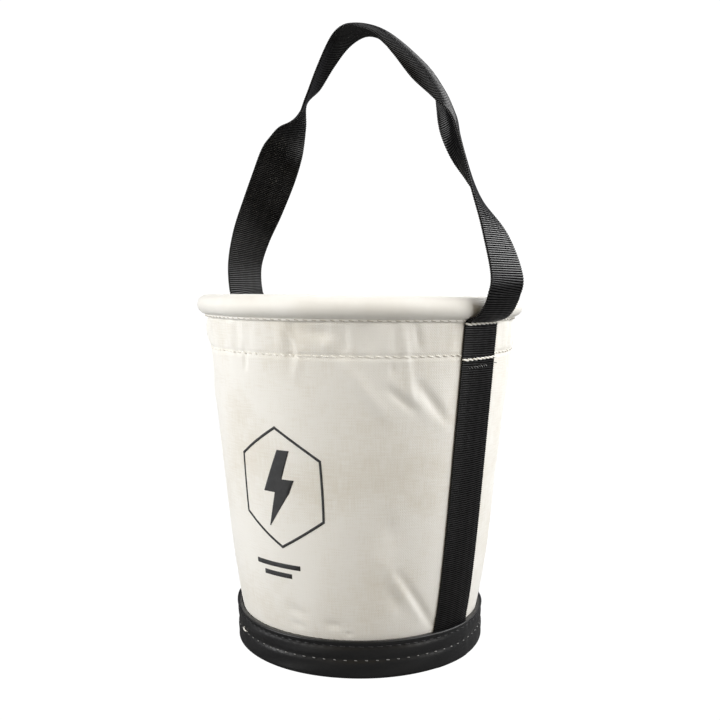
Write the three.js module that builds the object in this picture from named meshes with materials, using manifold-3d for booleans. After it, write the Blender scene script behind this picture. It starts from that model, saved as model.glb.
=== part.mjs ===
/**
 * Round canvas tool bucket with a stiff rolled rim, a black base boot and a webbing carry handle.
 *
 * Millimetres, +Z up. The origin is the middle of the underside. The two webbing straps lie at +X
 * and -X, and the handle swings about an X axis through the places where they leave the wall.
 * Piece by piece: canvas wall and its inner hem facing, rim hoop core and its sewn wrap, canvas
 * floor with a stiffener board, base boot and wear disc, two straps, the handle and its threads.
 */
import * as THREE from 'three';
import { mergeVertices } from 'three/addons/utils/BufferGeometryUtils.js';
import Module from 'manifold-3d';

const wasm = await Module();
wasm.setup();

// ---- Driving sizes ---------------------------------------------------------------------------
const RIM_OUTER_DIAMETER = 304.8;
const RIM_TUBE_DIAMETER = 18;
const RIM_CENTRE_HEIGHT = 315;
const RIM_WRAP_THICKNESS = 1.4;
const WRAP_GAP = 0.9;                // between the wrap's edges and the layers that enter it
const CONE_FOOT_RADIUS = 113.2;      // where the wall's straight cone would meet the floor
const MOUTH_OFFSET = 0.2;            // wall's outer face at the mouth, outside the hoop's circle
const WALL_IN_RIM = 1.2;             // how far the wall's top edge enters the wrap
const TUCK_DEPTH = 4.5;              // how far the wall pulls in where the boot grips it
const TUCK_REACH = 38;
const CANVAS = 1.5;
const CLEARANCE = 0.4;               // between layers that lie on each other

const BOOT_HEIGHT = 33;
const BOOT_THICKNESS = 3.9;
const BOOT_LIP = 3;                  // the plain edge above the boot's rows of stitches
const BOOT_PINCH = 0.9;              // how deep a row of stitches pulls into the boot
const BOOT_PINCH_REACH = 2.2;        // how far above and below the row it is felt
const BOOT_LIP_FLARE = 0.4;
const BOOT_CORNER_RADIUS = 5;
const BOOT_FLANGE_WIDTH = 17;        // how far the boot turns under the floor
const BOOT_FLANGE_THICKNESS = 2.4;
const BOOT_UPPER_ROW = 28.5;
const BOOT_LOWER_ROW = 17.3;
const STIFFENER = 3;

const WEBBING_WIDTH = 44.5;
const WEBBING_THICKNESS = 1.8;
const STRAP_FOOT_HEIGHT = 8;         // the strap's lower end, held inside the boot
const STRAP_CHANNEL_SIDE = 1.2;      // room beside and below the strap inside the boot
const STRAP_CHANNEL_FACE = 0.8;      // room in front of the strap inside the boot
const STRAP_LEAVES_WALL = [9, 6.5, 4];           // below the wall's top edge
const STRAP_ROUND_RIM = [-76, -66, -55, -44];    // degrees round the rim tube from level

const HEM_ROW_DROP = 39;             // the hem row below the rim's centre
const HEM_TAIL = 7;                  // hem facing below its own row of stitches
const STRAP_UPPER_ROW_DROP = 14;
const STRAP_LOWER_ROW_DROP = 43.5;
const TACK_ROW_DROP = 49;
const TACK_ROW_LENGTH = 26;
const THREAD_RADIUS = 0.4;
const THREAD_GAP = 0.6;              // between a row of stitches and the face that it lies on
const ROW_END_GAP = 3;               // between a strap's edge and the ends of the wall's rows
const SEAM_ROW_SPACING = 8;          // between the two rows of the wall's back seam
const SEAM_END_GAP = 2.5;            // between the seam's ends and the boot or the hem row

const ROUND_SEGMENTS = 48;           // sides of every turned body
const WRAP_STEPS = 9;                // flats round the wrap's section
const CUT_OVERSHOOT = 1;             // how far a cutting body runs past the face that it opens

const HANDLE_RISE = 257;             // from the rim's centre to the strap's highest mid-line point
const ROOT_CLEARANCE = 2.6;          // handle mid-line outside the rim where a leg starts
const HANDLE_STEPS = 3;              // rows of faces between two stations of the route
const LEAST_CUP = 0.1;               // degrees, so that a flat stretch still has a cup radius

/**
 * The handle's hand-set route, from the +X leg over the top to the -X leg. Each station holds the
 * mid-line's x and y, its rise above the rim's centre, the strap's twist about its own line and
 * the angle that it cups through across its width, in degrees.
 */
const HANDLE_ROUTE = [
  [155, 0, -10, 0, 15],
  [161.5, 0, -1, 0, 10],
  [166, 0, 11, 0, 4],
  [167.5, 1, 28, 0, 0],
  [157, 0, 61, -8, 5],
  [142, -4, 92, -26, 10],
  [129, -4, 119, -40, 25],
  [119, -2, 140, -50, 60],
  [113, 0, 159, -52, 115],
  [104, 0, 180, -32, 160],
  [86, 0, 203, -8, 140],
  [64, 0, 224, -12, 120],
  [42, 0, 241, -18, 100],
  [22, 0, 252, -12, 85],
  [4, 0, 257, -4, 45],
  [-15, 0, 256, 8, 34],
  [-34, 0, 246, 20, 34],
  [-51, 0, 228, 28, 25],
  [-67, 0, 207, 35, 15],
  [-82, 0, 192, 44, 8],
  [-95, 0, 178, 15, 5],
  [-104, 0, 165, -4, 5],
  [-113, 0, 151, -24, 5],
  [-125, 0, 130, -38, 5],
  [-144, 0, 100, -30, 5],
  [-158, -4, 70, -14, 4],
  [-165.6, -7, 40, -2, 2],
  [-164, -7, 12, 0, 4],
  [-159, -3, -2, 0, 10],
  [-155, 0, -11, 0, 15],
];

// ---- Sizes worked out from the driving ones ---------------------------------------------------
const rimOuterRadius = RIM_OUTER_DIAMETER / 2;
const rimTubeRadius = RIM_TUBE_DIAMETER / 2;
const rimCentreRadius = rimOuterRadius - rimTubeRadius;
const wallMouthRadius = rimCentreRadius + MOUTH_OFFSET;
const bootRowsTop = BOOT_HEIGHT - BOOT_LIP;
const wallTop = RIM_CENTRE_HEIGHT - rimTubeRadius + WALL_IN_RIM;
const wallFoot = BOOT_FLANGE_THICKNESS + CLEARANCE;
const wallFootRadius = wallRadius(bootRowsTop);
const bootInnerRadius = wallRadius(BOOT_HEIGHT) + CLEARANCE;
const bootOuterRadius = bootInnerRadius + BOOT_THICKNESS;
const flangeInnerRadius = bootOuterRadius - BOOT_FLANGE_WIDTH;
const floorRadius = wallFootRadius - CANVAS - CLEARANCE;
const floorTop = wallFoot + CANVAS;
const openWallHeights = [bootRowsTop, ...steps(BOOT_HEIGHT, wallTop, 8)];
const strapOffset = CLEARANCE + WEBBING_THICKNESS / 2;
const rowEndAngle = (WEBBING_WIDTH / 2 + ROW_END_GAP) / rimCentreRadius;

/** Outer radius of the canvas wall at height z: a cone that is pulled in at the boot. */
function wallRadius(z) {
  const height = Math.max(z, bootRowsTop);
  const cone = CONE_FOOT_RADIUS
    + (wallMouthRadius - CONE_FOOT_RADIUS) * height / (RIM_CENTRE_HEIGHT - rimTubeRadius);
  return cone - TUCK_DEPTH * Math.exp(-(height - bootRowsTop) / TUCK_REACH);
}

// ---- Finishes ---------------------------------------------------------------------------------
const canvasCream = new THREE.MeshStandardMaterial({ color: 0xe6e2d4, roughness: 0.9 });
const wrapWhite = new THREE.MeshStandardMaterial({ color: 0xf1efe8, roughness: 0.75 });
const hoopPlastic = new THREE.MeshStandardMaterial({ color: 0xcfcfca, roughness: 0.5 });
const boardGrey = new THREE.MeshStandardMaterial({ color: 0x3a3a3a, roughness: 0.8 });
const bootVinyl = new THREE.MeshStandardMaterial({ color: 0x222324, roughness: 0.5 });
const webbingBlack = new THREE.MeshStandardMaterial({ color: 0x1c1c1e, roughness: 0.7 });
const threadWhite = new THREE.MeshStandardMaterial({ color: 0xf4f2ea, roughness: 0.8 });
const threadBlack = new THREE.MeshStandardMaterial({ color: 0x18181a, roughness: 0.8 });

// ---- Shape helpers ----------------------------------------------------------------------------

/** Merges shared vertices and turns the faces outwards if the signed volume is negative. */
function closedBody(geometry) {
  geometry.deleteAttribute('normal');
  geometry.deleteAttribute('uv');
  const body = mergeVertices(geometry, 1e-3);
  const position = body.getAttribute('position');
  const index = body.getIndex();
  const [a, b, c] = [new THREE.Vector3(), new THREE.Vector3(), new THREE.Vector3()];
  let volume = 0;
  for (let i = 0; i < index.count; i += 3) {
    a.fromBufferAttribute(position, index.getX(i));
    b.fromBufferAttribute(position, index.getX(i + 1));
    c.fromBufferAttribute(position, index.getX(i + 2));
    volume += a.dot(b.cross(c));
  }
  if (volume < 0) {
    for (let i = 0; i < index.count; i += 3) {
      const second = index.getX(i + 1);
      index.setX(i + 1, index.getX(i + 2));
      index.setX(i + 2, second);
    }
  }
  body.computeVertexNormals();
  return body;
}

/** A body turned about Z from [radius, height] points that close on themselves or on the axis. */
function turned(profile) {
  const points = profile.map(([radius, height]) => new THREE.Vector2(radius, height));
  const geometry = new THREE.LatheGeometry(points, ROUND_SEGMENTS);
  geometry.rotateX(Math.PI / 2);
  return closedBody(geometry);
}

/** Heights from low to high in equal steps, both ends included. */
function steps(low, high, count) {
  return Array.from({ length: count + 1 }, (_, i) => low + (high - low) * i / count);
}

/** A cloth tube through the given heights whose outer face is set in from the wall by inset. */
function clothTube(heights, inset) {
  const outer = heights.map((z) => [wallRadius(z) - inset, z]);
  const inner = outer.map(([radius, z]) => [radius - CANVAS, z]).reverse();
  return turned([...outer, ...inner, outer[0]]);
}

/** A flat strip bent into place: place(across, out, along) gives a point for each vertex. */
function bentStrip(width, thickness, acrossCount, alongCount, place) {
  const geometry = new THREE.BoxGeometry(width, thickness, 1, acrossCount, 1, alongCount);
  const position = geometry.getAttribute('position');
  for (let i = 0; i < position.count; i += 1) {
    const point = place(position.getX(i), position.getY(i), position.getZ(i) + 0.5);
    position.setXYZ(i, point.x, point.y, point.z);
  }
  return closedBody(geometry);
}

/** A thread laid along a curve: a five-sided section with closed ends. */
function threadAlong(curve, count) {
  const corners = steps(0, 2 * Math.PI, 5).slice(0, 5);
  const section = new THREE.Shape(
    corners.map((turn) => new THREE.Vector2(Math.cos(turn), Math.sin(turn))
      .multiplyScalar(THREAD_RADIUS)),
  );
  const options = { steps: count, bevelEnabled: false, extrudePath: curve };
  return closedBody(new THREE.ExtrudeGeometry(section, options));
}

/** A level arc about Z between two angles. */
class LevelArc extends THREE.Curve {
  constructor(radius, height, from, to) {
    super();
    Object.assign(this, { radius, height, from, to });
  }

  getPoint(t, target = new THREE.Vector3()) {
    const turn = this.from + (this.to - this.from) * t;
    return target.set(this.radius * Math.cos(turn), this.radius * Math.sin(turn), this.height);
  }
}

/** Turns a closed three.js body into a manifold solid. */
function toManifold(geometry) {
  return new wasm.Manifold(new wasm.Mesh({
    numProp: 3,
    vertProperties: new Float32Array(geometry.getAttribute('position').array),
    triVerts: new Uint32Array(geometry.getIndex().array),
  }));
}

/** Turns a manifold solid back into a three.js body. */
function fromManifold(solid) {
  const mesh = solid.getMesh();
  const geometry = new THREE.BufferGeometry();
  geometry.setAttribute('position', new THREE.BufferAttribute(mesh.vertProperties, 3));
  geometry.setIndex(new THREE.BufferAttribute(mesh.triVerts, 1));
  geometry.computeVertexNormals();
  return geometry;
}

// ---- Wall, hem and floor ----------------------------------------------------------------------

/** The canvas floor: a disc whose edge turns up inside the wall, past both boot rows. */
function floorCanvas() {
  const skirtTop = bootRowsTop;
  return turned([
    [0, wallFoot],
    [floorRadius, wallFoot],
    [floorRadius, skirtTop],
    [floorRadius - CANVAS, skirtTop],
    [floorRadius - CANVAS, floorTop],
    [0, floorTop],
  ]);
}

/** The board that keeps the floor flat under its load. */
function floorStiffener() {
  const radius = floorRadius - CANVAS - CLEARANCE;
  const low = floorTop + CLEARANCE;
  return turned([[0, low], [radius, low], [radius, low + STIFFENER], [0, low + STIFFENER]]);
}

// ---- Rim --------------------------------------------------------------------------------------

/** The hoop that keeps the mouth round. */
function rimHoop() {
  const wrapFlats = (rimTubeRadius - RIM_WRAP_THICKNESS) * Math.cos(Math.PI / WRAP_STEPS);
  const tube = wrapFlats - CLEARANCE;
  const geometry = new THREE.TorusGeometry(rimCentreRadius, tube, 8, ROUND_SEGMENTS);
  geometry.translate(0, 0, RIM_CENTRE_HEIGHT);
  return closedBody(geometry);
}

/** The wrap around the hoop, open below where the wall and its facing enter. */
function rimWrap() {
  const facingInner = 2 * CANVAS + CLEARANCE - MOUTH_OFFSET;
  const gapOuter = Math.asin((MOUTH_OFFSET + WRAP_GAP) / rimTubeRadius);
  const gapInner = Math.asin((facingInner + WRAP_GAP) / rimTubeRadius);
  const turns = steps(-Math.PI / 2 + gapOuter, 1.5 * Math.PI - gapInner, WRAP_STEPS);
  const ring = (radius) => turns.map((turn) => [
    rimCentreRadius + radius * Math.cos(turn),
    RIM_CENTRE_HEIGHT + radius * Math.sin(turn),
  ]);
  const outer = ring(rimTubeRadius);
  const inner = ring(rimTubeRadius - RIM_WRAP_THICKNESS).reverse();
  return turned([...outer, ...inner, outer[0]]);
}

// ---- Base boot --------------------------------------------------------------------------------

/** Outer radius of the boot at height z: pinched at both rows of stitches, flared at the lip. */
function bootRadius(z) {
  const pinch = (row) => BOOT_PINCH * Math.exp(-(((z - row) / BOOT_PINCH_REACH) ** 2));
  const flare = BOOT_LIP_FLARE * Math.max(0, (z - bootRowsTop) / (BOOT_HEIGHT - bootRowsTop));
  return bootOuterRadius - pinch(BOOT_UPPER_ROW) - pinch(BOOT_LOWER_ROW) + flare;
}

/** The boot: a low wall with a rounded foot that turns under the floor. */
function baseBoot() {
  const corner = steps(-Math.PI / 2, 0, 3).map((turn) => [
    bootOuterRadius - BOOT_CORNER_RADIUS + BOOT_CORNER_RADIUS * Math.cos(turn),
    BOOT_CORNER_RADIUS + BOOT_CORNER_RADIUS * Math.sin(turn),
  ]);
  const side = steps(BOOT_CORNER_RADIUS + 2, BOOT_HEIGHT, 10).map((z) => [bootRadius(z), z]);
  const profile = [
    [flangeInnerRadius, 0],
    ...corner,
    ...side,
    [bootInnerRadius, BOOT_HEIGHT],
    [bootInnerRadius, BOOT_FLANGE_THICKNESS],
    [flangeInnerRadius, BOOT_FLANGE_THICKNESS],
    [flangeInnerRadius, 0],
  ];
  const depth = bootInnerRadius + WEBBING_THICKNESS + STRAP_CHANNEL_FACE;
  const width = WEBBING_WIDTH + 2 * STRAP_CHANNEL_SIDE;
  const low = STRAP_FOOT_HEIGHT - STRAP_CHANNEL_SIDE;
  const height = BOOT_HEIGHT - low + CUT_OVERSHOOT;
  const inner = bootInnerRadius - CUT_OVERSHOOT;
  const ring = toManifold(turned([
    [inner, low],
    [depth, low],
    [depth, low + height],
    [inner, low + height],
    [inner, low],
  ]));
  const across = new THREE.BoxGeometry(4 * bootOuterRadius, width, height);
  across.translate(0, 0, low + height / 2);
  const channels = ring.intersect(toManifold(closedBody(across)));
  return fromManifold(toManifold(turned(profile)).subtract(channels));
}

/** The disc on the underside, level with the boot's turned-under edge. */
function wearDisc() {
  const radius = flangeInnerRadius - CLEARANCE;
  return turned([
    [0, 0],
    [radius, 0],
    [radius, BOOT_FLANGE_THICKNESS],
    [0, BOOT_FLANGE_THICKNESS],
  ]);
}

// ---- Webbing ----------------------------------------------------------------------------------

/**
 * The strap on the wall: up the canvas from inside the boot, then outwards round the underside of
 * the rim. side is 1 for +X and -1 for -X.
 */
function wallStrap(side) {
  const flatHeights = STRAP_LEAVES_WALL.map((drop) => wallTop - drop);
  const wallHeights = [STRAP_FOOT_HEIGHT, ...openWallHeights.slice(0, -1), ...flatHeights];
  const roundRim = rimTubeRadius + strapOffset;
  const rimTurns = STRAP_ROUND_RIM.map((degrees) => THREE.MathUtils.degToRad(degrees));
  const line = new THREE.SplineCurve([
    ...wallHeights.map((z) => new THREE.Vector2(wallRadius(z) + strapOffset, z)),
    ...rimTurns.map((turn) => new THREE.Vector2(
      rimCentreRadius + roundRim * Math.cos(turn),
      RIM_CENTRE_HEIGHT + roundRim * Math.sin(turn),
    )),
  ]);
  const alongCount = 2 * (line.points.length - 1);
  return bentStrip(WEBBING_WIDTH, WEBBING_THICKNESS, 4, alongCount, (across, out, along) => {
    const middle = line.getPoint(along);
    const tangent = line.getTangent(along);
    const radius = middle.x + out * tangent.y;
    const height = middle.y - out * tangent.x;
    const turn = across / middle.x;
    return new THREE.Vector3(side * radius * Math.cos(turn), radius * Math.sin(turn), height);
  });
}

/** The carry handle: one length of webbing that twists and cups along its hand-set route. */
function handleStrap() {
  const spanScale = (rimOuterRadius + ROOT_CLEARANCE) / HANDLE_ROUTE[0][0];
  const drawnRise = Math.max(...HANDLE_ROUTE.map(([, , rise]) => rise));
  const riseScale = HANDLE_RISE / drawnRise;
  const line = new THREE.CatmullRomCurve3(HANDLE_ROUTE.map(([x, y, rise]) => new THREE.Vector3(
    x * spanScale,
    y,
    RIM_CENTRE_HEIGHT + (rise > 0 ? rise * riseScale : rise),
  )), false, 'catmullrom', 0.5);
  const turns = new THREE.SplineCurve(
    HANDLE_ROUTE.map(([, , , twist, cup]) => new THREE.Vector2(twist, cup)),
  );
  const alongCount = HANDLE_STEPS * (HANDLE_ROUTE.length - 1);
  return bentStrip(WEBBING_WIDTH, WEBBING_THICKNESS, 6, alongCount, (across, out, along) => {
    const tangent = line.getTangent(along);
    const level = new THREE.Vector3(0, 1, 0).addScaledVector(tangent, -tangent.y).normalize();
    const outward = new THREE.Vector3().crossVectors(level, tangent);
    const { x: twistDegrees, y: cupDegrees } = turns.getPoint(along);
    const twist = THREE.MathUtils.degToRad(twistDegrees);
    const cup = THREE.MathUtils.degToRad(Math.max(cupDegrees, LEAST_CUP));
    const edge = level.clone().multiplyScalar(Math.cos(twist))
      .addScaledVector(outward, Math.sin(twist));
    const face = outward.clone().multiplyScalar(Math.cos(twist))
      .addScaledVector(level, -Math.sin(twist));
    const cupRadius = WEBBING_WIDTH / cup;
    const turn = across / cupRadius;
    return line.getPoint(along)
      .addScaledVector(edge, (cupRadius + out) * Math.sin(turn))
      .addScaledVector(face, (cupRadius + out) * Math.cos(turn) - cupRadius);
  });
}

// ---- Threads ----------------------------------------------------------------------------------

/** A row of stitches on the wall from one strap to the other; side is -1 in front, 1 behind. */
function wallRow(height, side) {
  const radius = wallRadius(height) + THREAD_GAP + THREAD_RADIUS;
  const arc = new LevelArc(radius, height, side * rowEndAngle, side * (Math.PI - rowEndAngle));
  return threadAlong(arc, ROUND_SEGMENTS / 2);
}

/** A row of stitches across a strap on the wall; side is 1 for +X and -1 for -X. */
function strapRow(height, length, side) {
  const strapFace = wallRadius(height) + CLEARANCE + WEBBING_THICKNESS;
  const radius = strapFace + THREAD_GAP + THREAD_RADIUS;
  const half = length / 2 / radius;
  const middle = side > 0 ? 0 : Math.PI;
  return threadAlong(new LevelArc(radius, height, middle - half, middle + half), 4);
}

/** A closed row of stitches round the boot. */
function bootRow(height) {
  const radius = bootRadius(height) + THREAD_GAP + THREAD_RADIUS;
  const geometry = new THREE.TorusGeometry(radius, THREAD_RADIUS, 4, ROUND_SEGMENTS);
  geometry.translate(0, 0, height);
  return closedBody(geometry);
}

/** A row of the wall's upright seam at the back, from the boot to below the hem row. */
function seamRow(offset) {
  const top = RIM_CENTRE_HEIGHT - HEM_ROW_DROP - SEAM_END_GAP;
  const heights = steps(BOOT_HEIGHT + SEAM_END_GAP, top, 9);
  return threadAlong(new THREE.CatmullRomCurve3(heights.map((z) => {
    const radius = wallRadius(z) + THREAD_GAP + THREAD_RADIUS;
    const turn = Math.PI / 2 + offset / radius;
    return new THREE.Vector3(radius * Math.cos(turn), radius * Math.sin(turn), z);
  })), 12);
}

// ---- Assembly ---------------------------------------------------------------------------------
const group = new THREE.Group();

/** Adds a named sub-part to the assembly. */
function addPart(name, geometry, material) {
  const mesh = new THREE.Mesh(geometry, material);
  mesh.name = name;
  group.add(mesh);
}

const rimRowHeight = RIM_CENTRE_HEIGHT - rimTubeRadius - CLEARANCE - THREAD_RADIUS;
const hemRowHeight = RIM_CENTRE_HEIGHT - HEM_ROW_DROP;
const facingInset = CANVAS + CLEARANCE;

addPart('wall_canvas', clothTube([wallFoot, ...openWallHeights], 0), canvasCream);
addPart('hem_facing', clothTube(steps(hemRowHeight - HEM_TAIL, wallTop, 2), facingInset),
  canvasCream);
addPart('floor_canvas', floorCanvas(), canvasCream);
addPart('floor_stiffener', floorStiffener(), boardGrey);
addPart('rim_hoop', rimHoop(), hoopPlastic);
addPart('rim_wrap', rimWrap(), wrapWhite);
addPart('base_boot', baseBoot(), bootVinyl);
addPart('base_wear_disc', wearDisc(), bootVinyl);
addPart('handle_strap', handleStrap(), webbingBlack);

for (const [side, label] of [[1, 'right'], [-1, 'left']]) {
  const upper = RIM_CENTRE_HEIGHT - STRAP_UPPER_ROW_DROP;
  const lower = RIM_CENTRE_HEIGHT - STRAP_LOWER_ROW_DROP;
  const tack = RIM_CENTRE_HEIGHT - TACK_ROW_DROP;
  addPart(`wall_strap_${label}`, wallStrap(side), webbingBlack);
  addPart(`strap_upper_thread_${label}`, strapRow(upper, WEBBING_WIDTH, side), threadWhite);
  addPart(`strap_lower_thread_${label}`, strapRow(lower, WEBBING_WIDTH, side), threadWhite);
  addPart(`strap_tack_${label}`, strapRow(tack, TACK_ROW_LENGTH, side), threadBlack);
  addPart(`seam_thread_${label}`, seamRow(-side * SEAM_ROW_SPACING / 2), threadWhite);
}

for (const [side, label] of [[-1, 'front'], [1, 'back']]) {
  addPart(`rim_thread_${label}`, wallRow(rimRowHeight, side), threadWhite);
  addPart(`hem_thread_${label}`, wallRow(hemRowHeight, side), threadWhite);
}

addPart('boot_upper_thread', bootRow(BOOT_UPPER_ROW), threadBlack);
addPart('boot_lower_thread', bootRow(BOOT_LOWER_ROW), threadWhite);

export default group;
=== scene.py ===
"""The looks of a round canvas tool bucket: cloth, webbing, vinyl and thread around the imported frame.

Every shape is a surface worked out with numpy on a grid of two parameters. The frame is in metres
and so is everything here; sizes that a maker would give in millimetres are written as 4.5 * MM.
Angles round the bucket are azimuths: 0 is +X, where one strap is sewn, and -90 degrees is -Y.
"""
import logging
import math
from dataclasses import dataclass, field
from enum import Enum
from typing import Any

import bpy
import numpy as np
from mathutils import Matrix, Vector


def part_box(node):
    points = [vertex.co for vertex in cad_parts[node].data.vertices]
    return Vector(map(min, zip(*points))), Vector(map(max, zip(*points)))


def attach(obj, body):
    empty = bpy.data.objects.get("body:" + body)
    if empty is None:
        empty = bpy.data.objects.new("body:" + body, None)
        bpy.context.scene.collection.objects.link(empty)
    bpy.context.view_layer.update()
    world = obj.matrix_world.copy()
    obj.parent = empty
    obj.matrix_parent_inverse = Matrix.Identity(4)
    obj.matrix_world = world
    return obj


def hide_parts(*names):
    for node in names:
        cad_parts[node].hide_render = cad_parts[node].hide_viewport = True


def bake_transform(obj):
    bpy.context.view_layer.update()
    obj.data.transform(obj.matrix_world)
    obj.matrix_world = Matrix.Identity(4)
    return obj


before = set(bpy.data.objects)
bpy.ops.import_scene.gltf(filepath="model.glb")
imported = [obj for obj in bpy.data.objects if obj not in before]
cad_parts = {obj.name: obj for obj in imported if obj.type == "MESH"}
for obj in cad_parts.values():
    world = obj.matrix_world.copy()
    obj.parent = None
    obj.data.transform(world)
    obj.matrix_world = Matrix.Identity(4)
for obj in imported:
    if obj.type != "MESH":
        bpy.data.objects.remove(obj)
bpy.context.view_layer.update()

Array = np.ndarray
MM = 0.001
RIB_PITCH = 1.94  # mm between the webbing's cross ribs
WAVE_X = 20       # a wave texture's bands along X go as sin(20 x scale)
WAVE_SLANT = 10   # and its diagonal bands as sin(10 (x + y + z) scale)
log = logging.getLogger("tool_bucket")


class Body(Enum):
    """The two bodies of the frame."""

    BUCKET = "bucket"
    HANDLE = "handle"


class Slot(Enum):
    """The record's material slots."""

    CANVAS = "canvas"
    RIM = "rim_wrap"
    HOOP = "hoop"
    BOARD = "board"
    VINYL = "boot_vinyl"
    WEBBING = "webbing"
    WHITE_THREAD = "white_thread"
    BLACK_THREAD = "black_thread"


class Side(Enum):
    """The two ends of the X axis, where the straps are sewn."""

    RIGHT = 1
    LEFT = -1


# ---- Meshes -----------------------------------------------------------------------------------

@dataclass
class Surface:
    """Points and faces of one closed mesh.

    Attributes:
        points: n x 3 places, in metres.
        polygons: groups of faces with the same number of corners, each m x k vertex numbers.
        uvs: the matching groups of m x k x 2 cloth coordinates, in metres of cloth.
    """

    points: Array
    polygons: list[Array]
    uvs: list[Array]

    def facing_out(self) -> "Surface":
        """Reverses every face if the volume that the faces enclose comes out negative.

        Returns:
            The same surface with its faces pointing outwards.
        """
        volume = 0.0
        for group in self.polygons:
            corners = self.points[group]
            for k in range(1, group.shape[1] - 1):
                cross = np.cross(corners[:, k], corners[:, k + 1])
                volume += float(np.einsum("ij,ij->", corners[:, 0], cross))
        if volume < 0:
            self.polygons = [group[:, ::-1] for group in self.polygons]
            self.uvs = [group[:, ::-1] for group in self.uvs]
        return self


def closed_grid(points: Array, uv: Array, open_rows: bool = False) -> Surface:
    """Joins a grid of points into a closed skin.

    Columns always join up. Rows join up too, as on a ring, or end in two flat caps.

    Args:
        points: rows x columns x 3 places.
        uv: (rows + 1) x (columns + 1) x 2 cloth coordinates; the last row and column repeat the
            first ones' places at the far side of the seam.
        open_rows: True where the first and last rows are ends with caps.

    Returns:
        The closed surface.
    """
    rows, columns = points.shape[:2]
    row, column = np.meshgrid(np.arange(rows - open_rows), np.arange(columns), indexing="ij")
    corners = [(0, 0), (0, 1), (1, 1), (1, 0)]
    quads = np.stack(
        [(row + i) % rows * columns + (column + j) % columns for i, j in corners], -1
    ).reshape(-1, 4)
    quad_uv = np.stack([uv[row + i, column + j] for i, j in corners], 2).reshape(-1, 4, 2)
    polygons, uvs = [quads], [quad_uv]
    if open_rows:
        first = np.arange(columns)[::-1]
        last = (rows - 1) * columns + np.arange(columns)
        polygons.append(np.stack([first, last]))
        uvs.append(np.stack([uv[0, first], uv[rows - 1, np.arange(columns)]]))
    return Surface(points.reshape(-1, 3), polygons, uvs).facing_out()


def turned(profile: Array, columns: int = 144) -> Surface:
    """Turns a profile from pole to pole about Z: a disc or a dish with both poles closed.

    Each ring is (r cos a, r sin a, z); the first and last profile points lie on the axis.

    Args:
        profile: n x 2 radii and heights, with zero radius at both ends.
        columns: steps round the axis.

    Returns:
        The closed surface, with its plan view as cloth coordinates.
    """
    turn = np.linspace(0, 2 * np.pi, columns, endpoint=False)
    radius, height = profile[1:-1, 0:1], profile[1:-1, 1:2]
    rings = np.stack([radius * np.cos(turn), radius * np.sin(turn), height + 0 * turn], -1)
    rows = len(rings)
    poles = np.array([[0, 0, profile[0, 1]], [0, 0, profile[-1, 1]]])
    points = np.concatenate([rings.reshape(-1, 3), poles])
    row, column = np.meshgrid(np.arange(rows - 1), np.arange(columns), indexing="ij")
    after = (column + 1) % columns
    quads = np.stack(
        [row * columns + column, row * columns + after, (row + 1) * columns + after,
         (row + 1) * columns + column], -1
    ).reshape(-1, 4)
    here = np.arange(columns)
    there = (here + 1) % columns
    low = np.stack([np.full(columns, rows * columns), there, here], -1)
    top = (rows - 1) * columns
    high = np.stack([np.full(columns, rows * columns + 1), top + here, top + there], -1)
    polygons = [quads, np.concatenate([low, high])]
    return Surface(points, polygons, [points[group][..., :2] for group in polygons]).facing_out()


def disc_profile(low: float, high: float, radius: float, edge: float) -> Array:
    """Half the outline of a flat disc with its two edges cut off at a slant.

    Args:
        low: height of its underside.
        high: height of its upper side.
        radius: its radius.
        edge: how much is cut off.

    Returns:
        n x 2 radii and heights, from pole to pole.
    """
    ramp = np.linspace(0.2, 1, 5)[:, None] * [radius - edge, 0]
    return np.concatenate([
        [[0, low]], ramp + [0, low], [[radius, low + edge], [radius, high - edge]],
        ramp[::-1] + [0, high], [[0, high]],
    ])


def make_piece(name: str, surface: Surface, material: bpy.types.Material,
               body: Body | None, replaced: tuple[str, ...] = ()) -> bpy.types.Object:
    """Puts a surface into the scene as one piece with its finish, and hides the frame's nodes that it
    stands for.

    Args:
        name: the piece's name.
        surface: its closed skin.
        material: its finish.
        body: the body that it rides on, or None to leave it on no body.
        replaced: the frame's nodes that it stands for.

    Returns:
        The new object.
    """
    mesh = bpy.data.meshes.new(name)
    faces = [face for group in surface.polygons for face in group.tolist()]
    mesh.from_pydata(surface.points.tolist(), [], faces)
    layer = mesh.uv_layers.new(name="cloth")
    flat = np.concatenate([group.reshape(-1, 2) for group in surface.uvs])
    layer.data.foreach_set("uv", flat.astype(np.float32).ravel())
    mesh.polygons.foreach_set("use_smooth", np.ones(len(mesh.polygons), bool))
    mesh.materials.append(material)
    mesh.update()
    piece = bpy.data.objects.new(name, mesh)
    bpy.context.scene.collection.objects.link(piece)
    if body is not None:
        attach(piece, body.value)
    if replaced:
        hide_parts(*replaced)
    log.info("%s: %d points", name, len(surface.points))
    return piece


# ---- Finishes ---------------------------------------------------------------------------------

def linear(hex_colour: str) -> tuple[float, float, float, float]:
    """Turns an sRGB hex colour such as "#e6e2d4" into linear red, green, blue and alpha.

    Args:
        hex_colour: the colour as a maker's sheet gives it.

    Returns:
        Four numbers from 0 to 1.
    """
    coded = [int(hex_colour[i:i + 2], 16) / 255 for i in (1, 3, 5)]
    red, green, blue = (
        c / 12.92 if c <= 0.04045 else ((c + 0.055) / 1.055) ** 2.4 for c in coded
    )
    return red, green, blue, 1.0


def per_metre(size_mm: float) -> float:
    """How many features of this size in millimetres lie in a metre."""
    return 1000 / size_mm


def wave_scale(spacing_mm: float, rate: float) -> float:
    """The scale at which a wave texture's bands lie this far apart.

    Args:
        spacing_mm: from one band to the next, in mm.
        rate: the texture's own radians for one unit of length.

    Returns:
        2 pi / (rate x spacing), for coordinates in metres.
    """
    return 2 * math.pi / rate * per_metre(spacing_mm)


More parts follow.
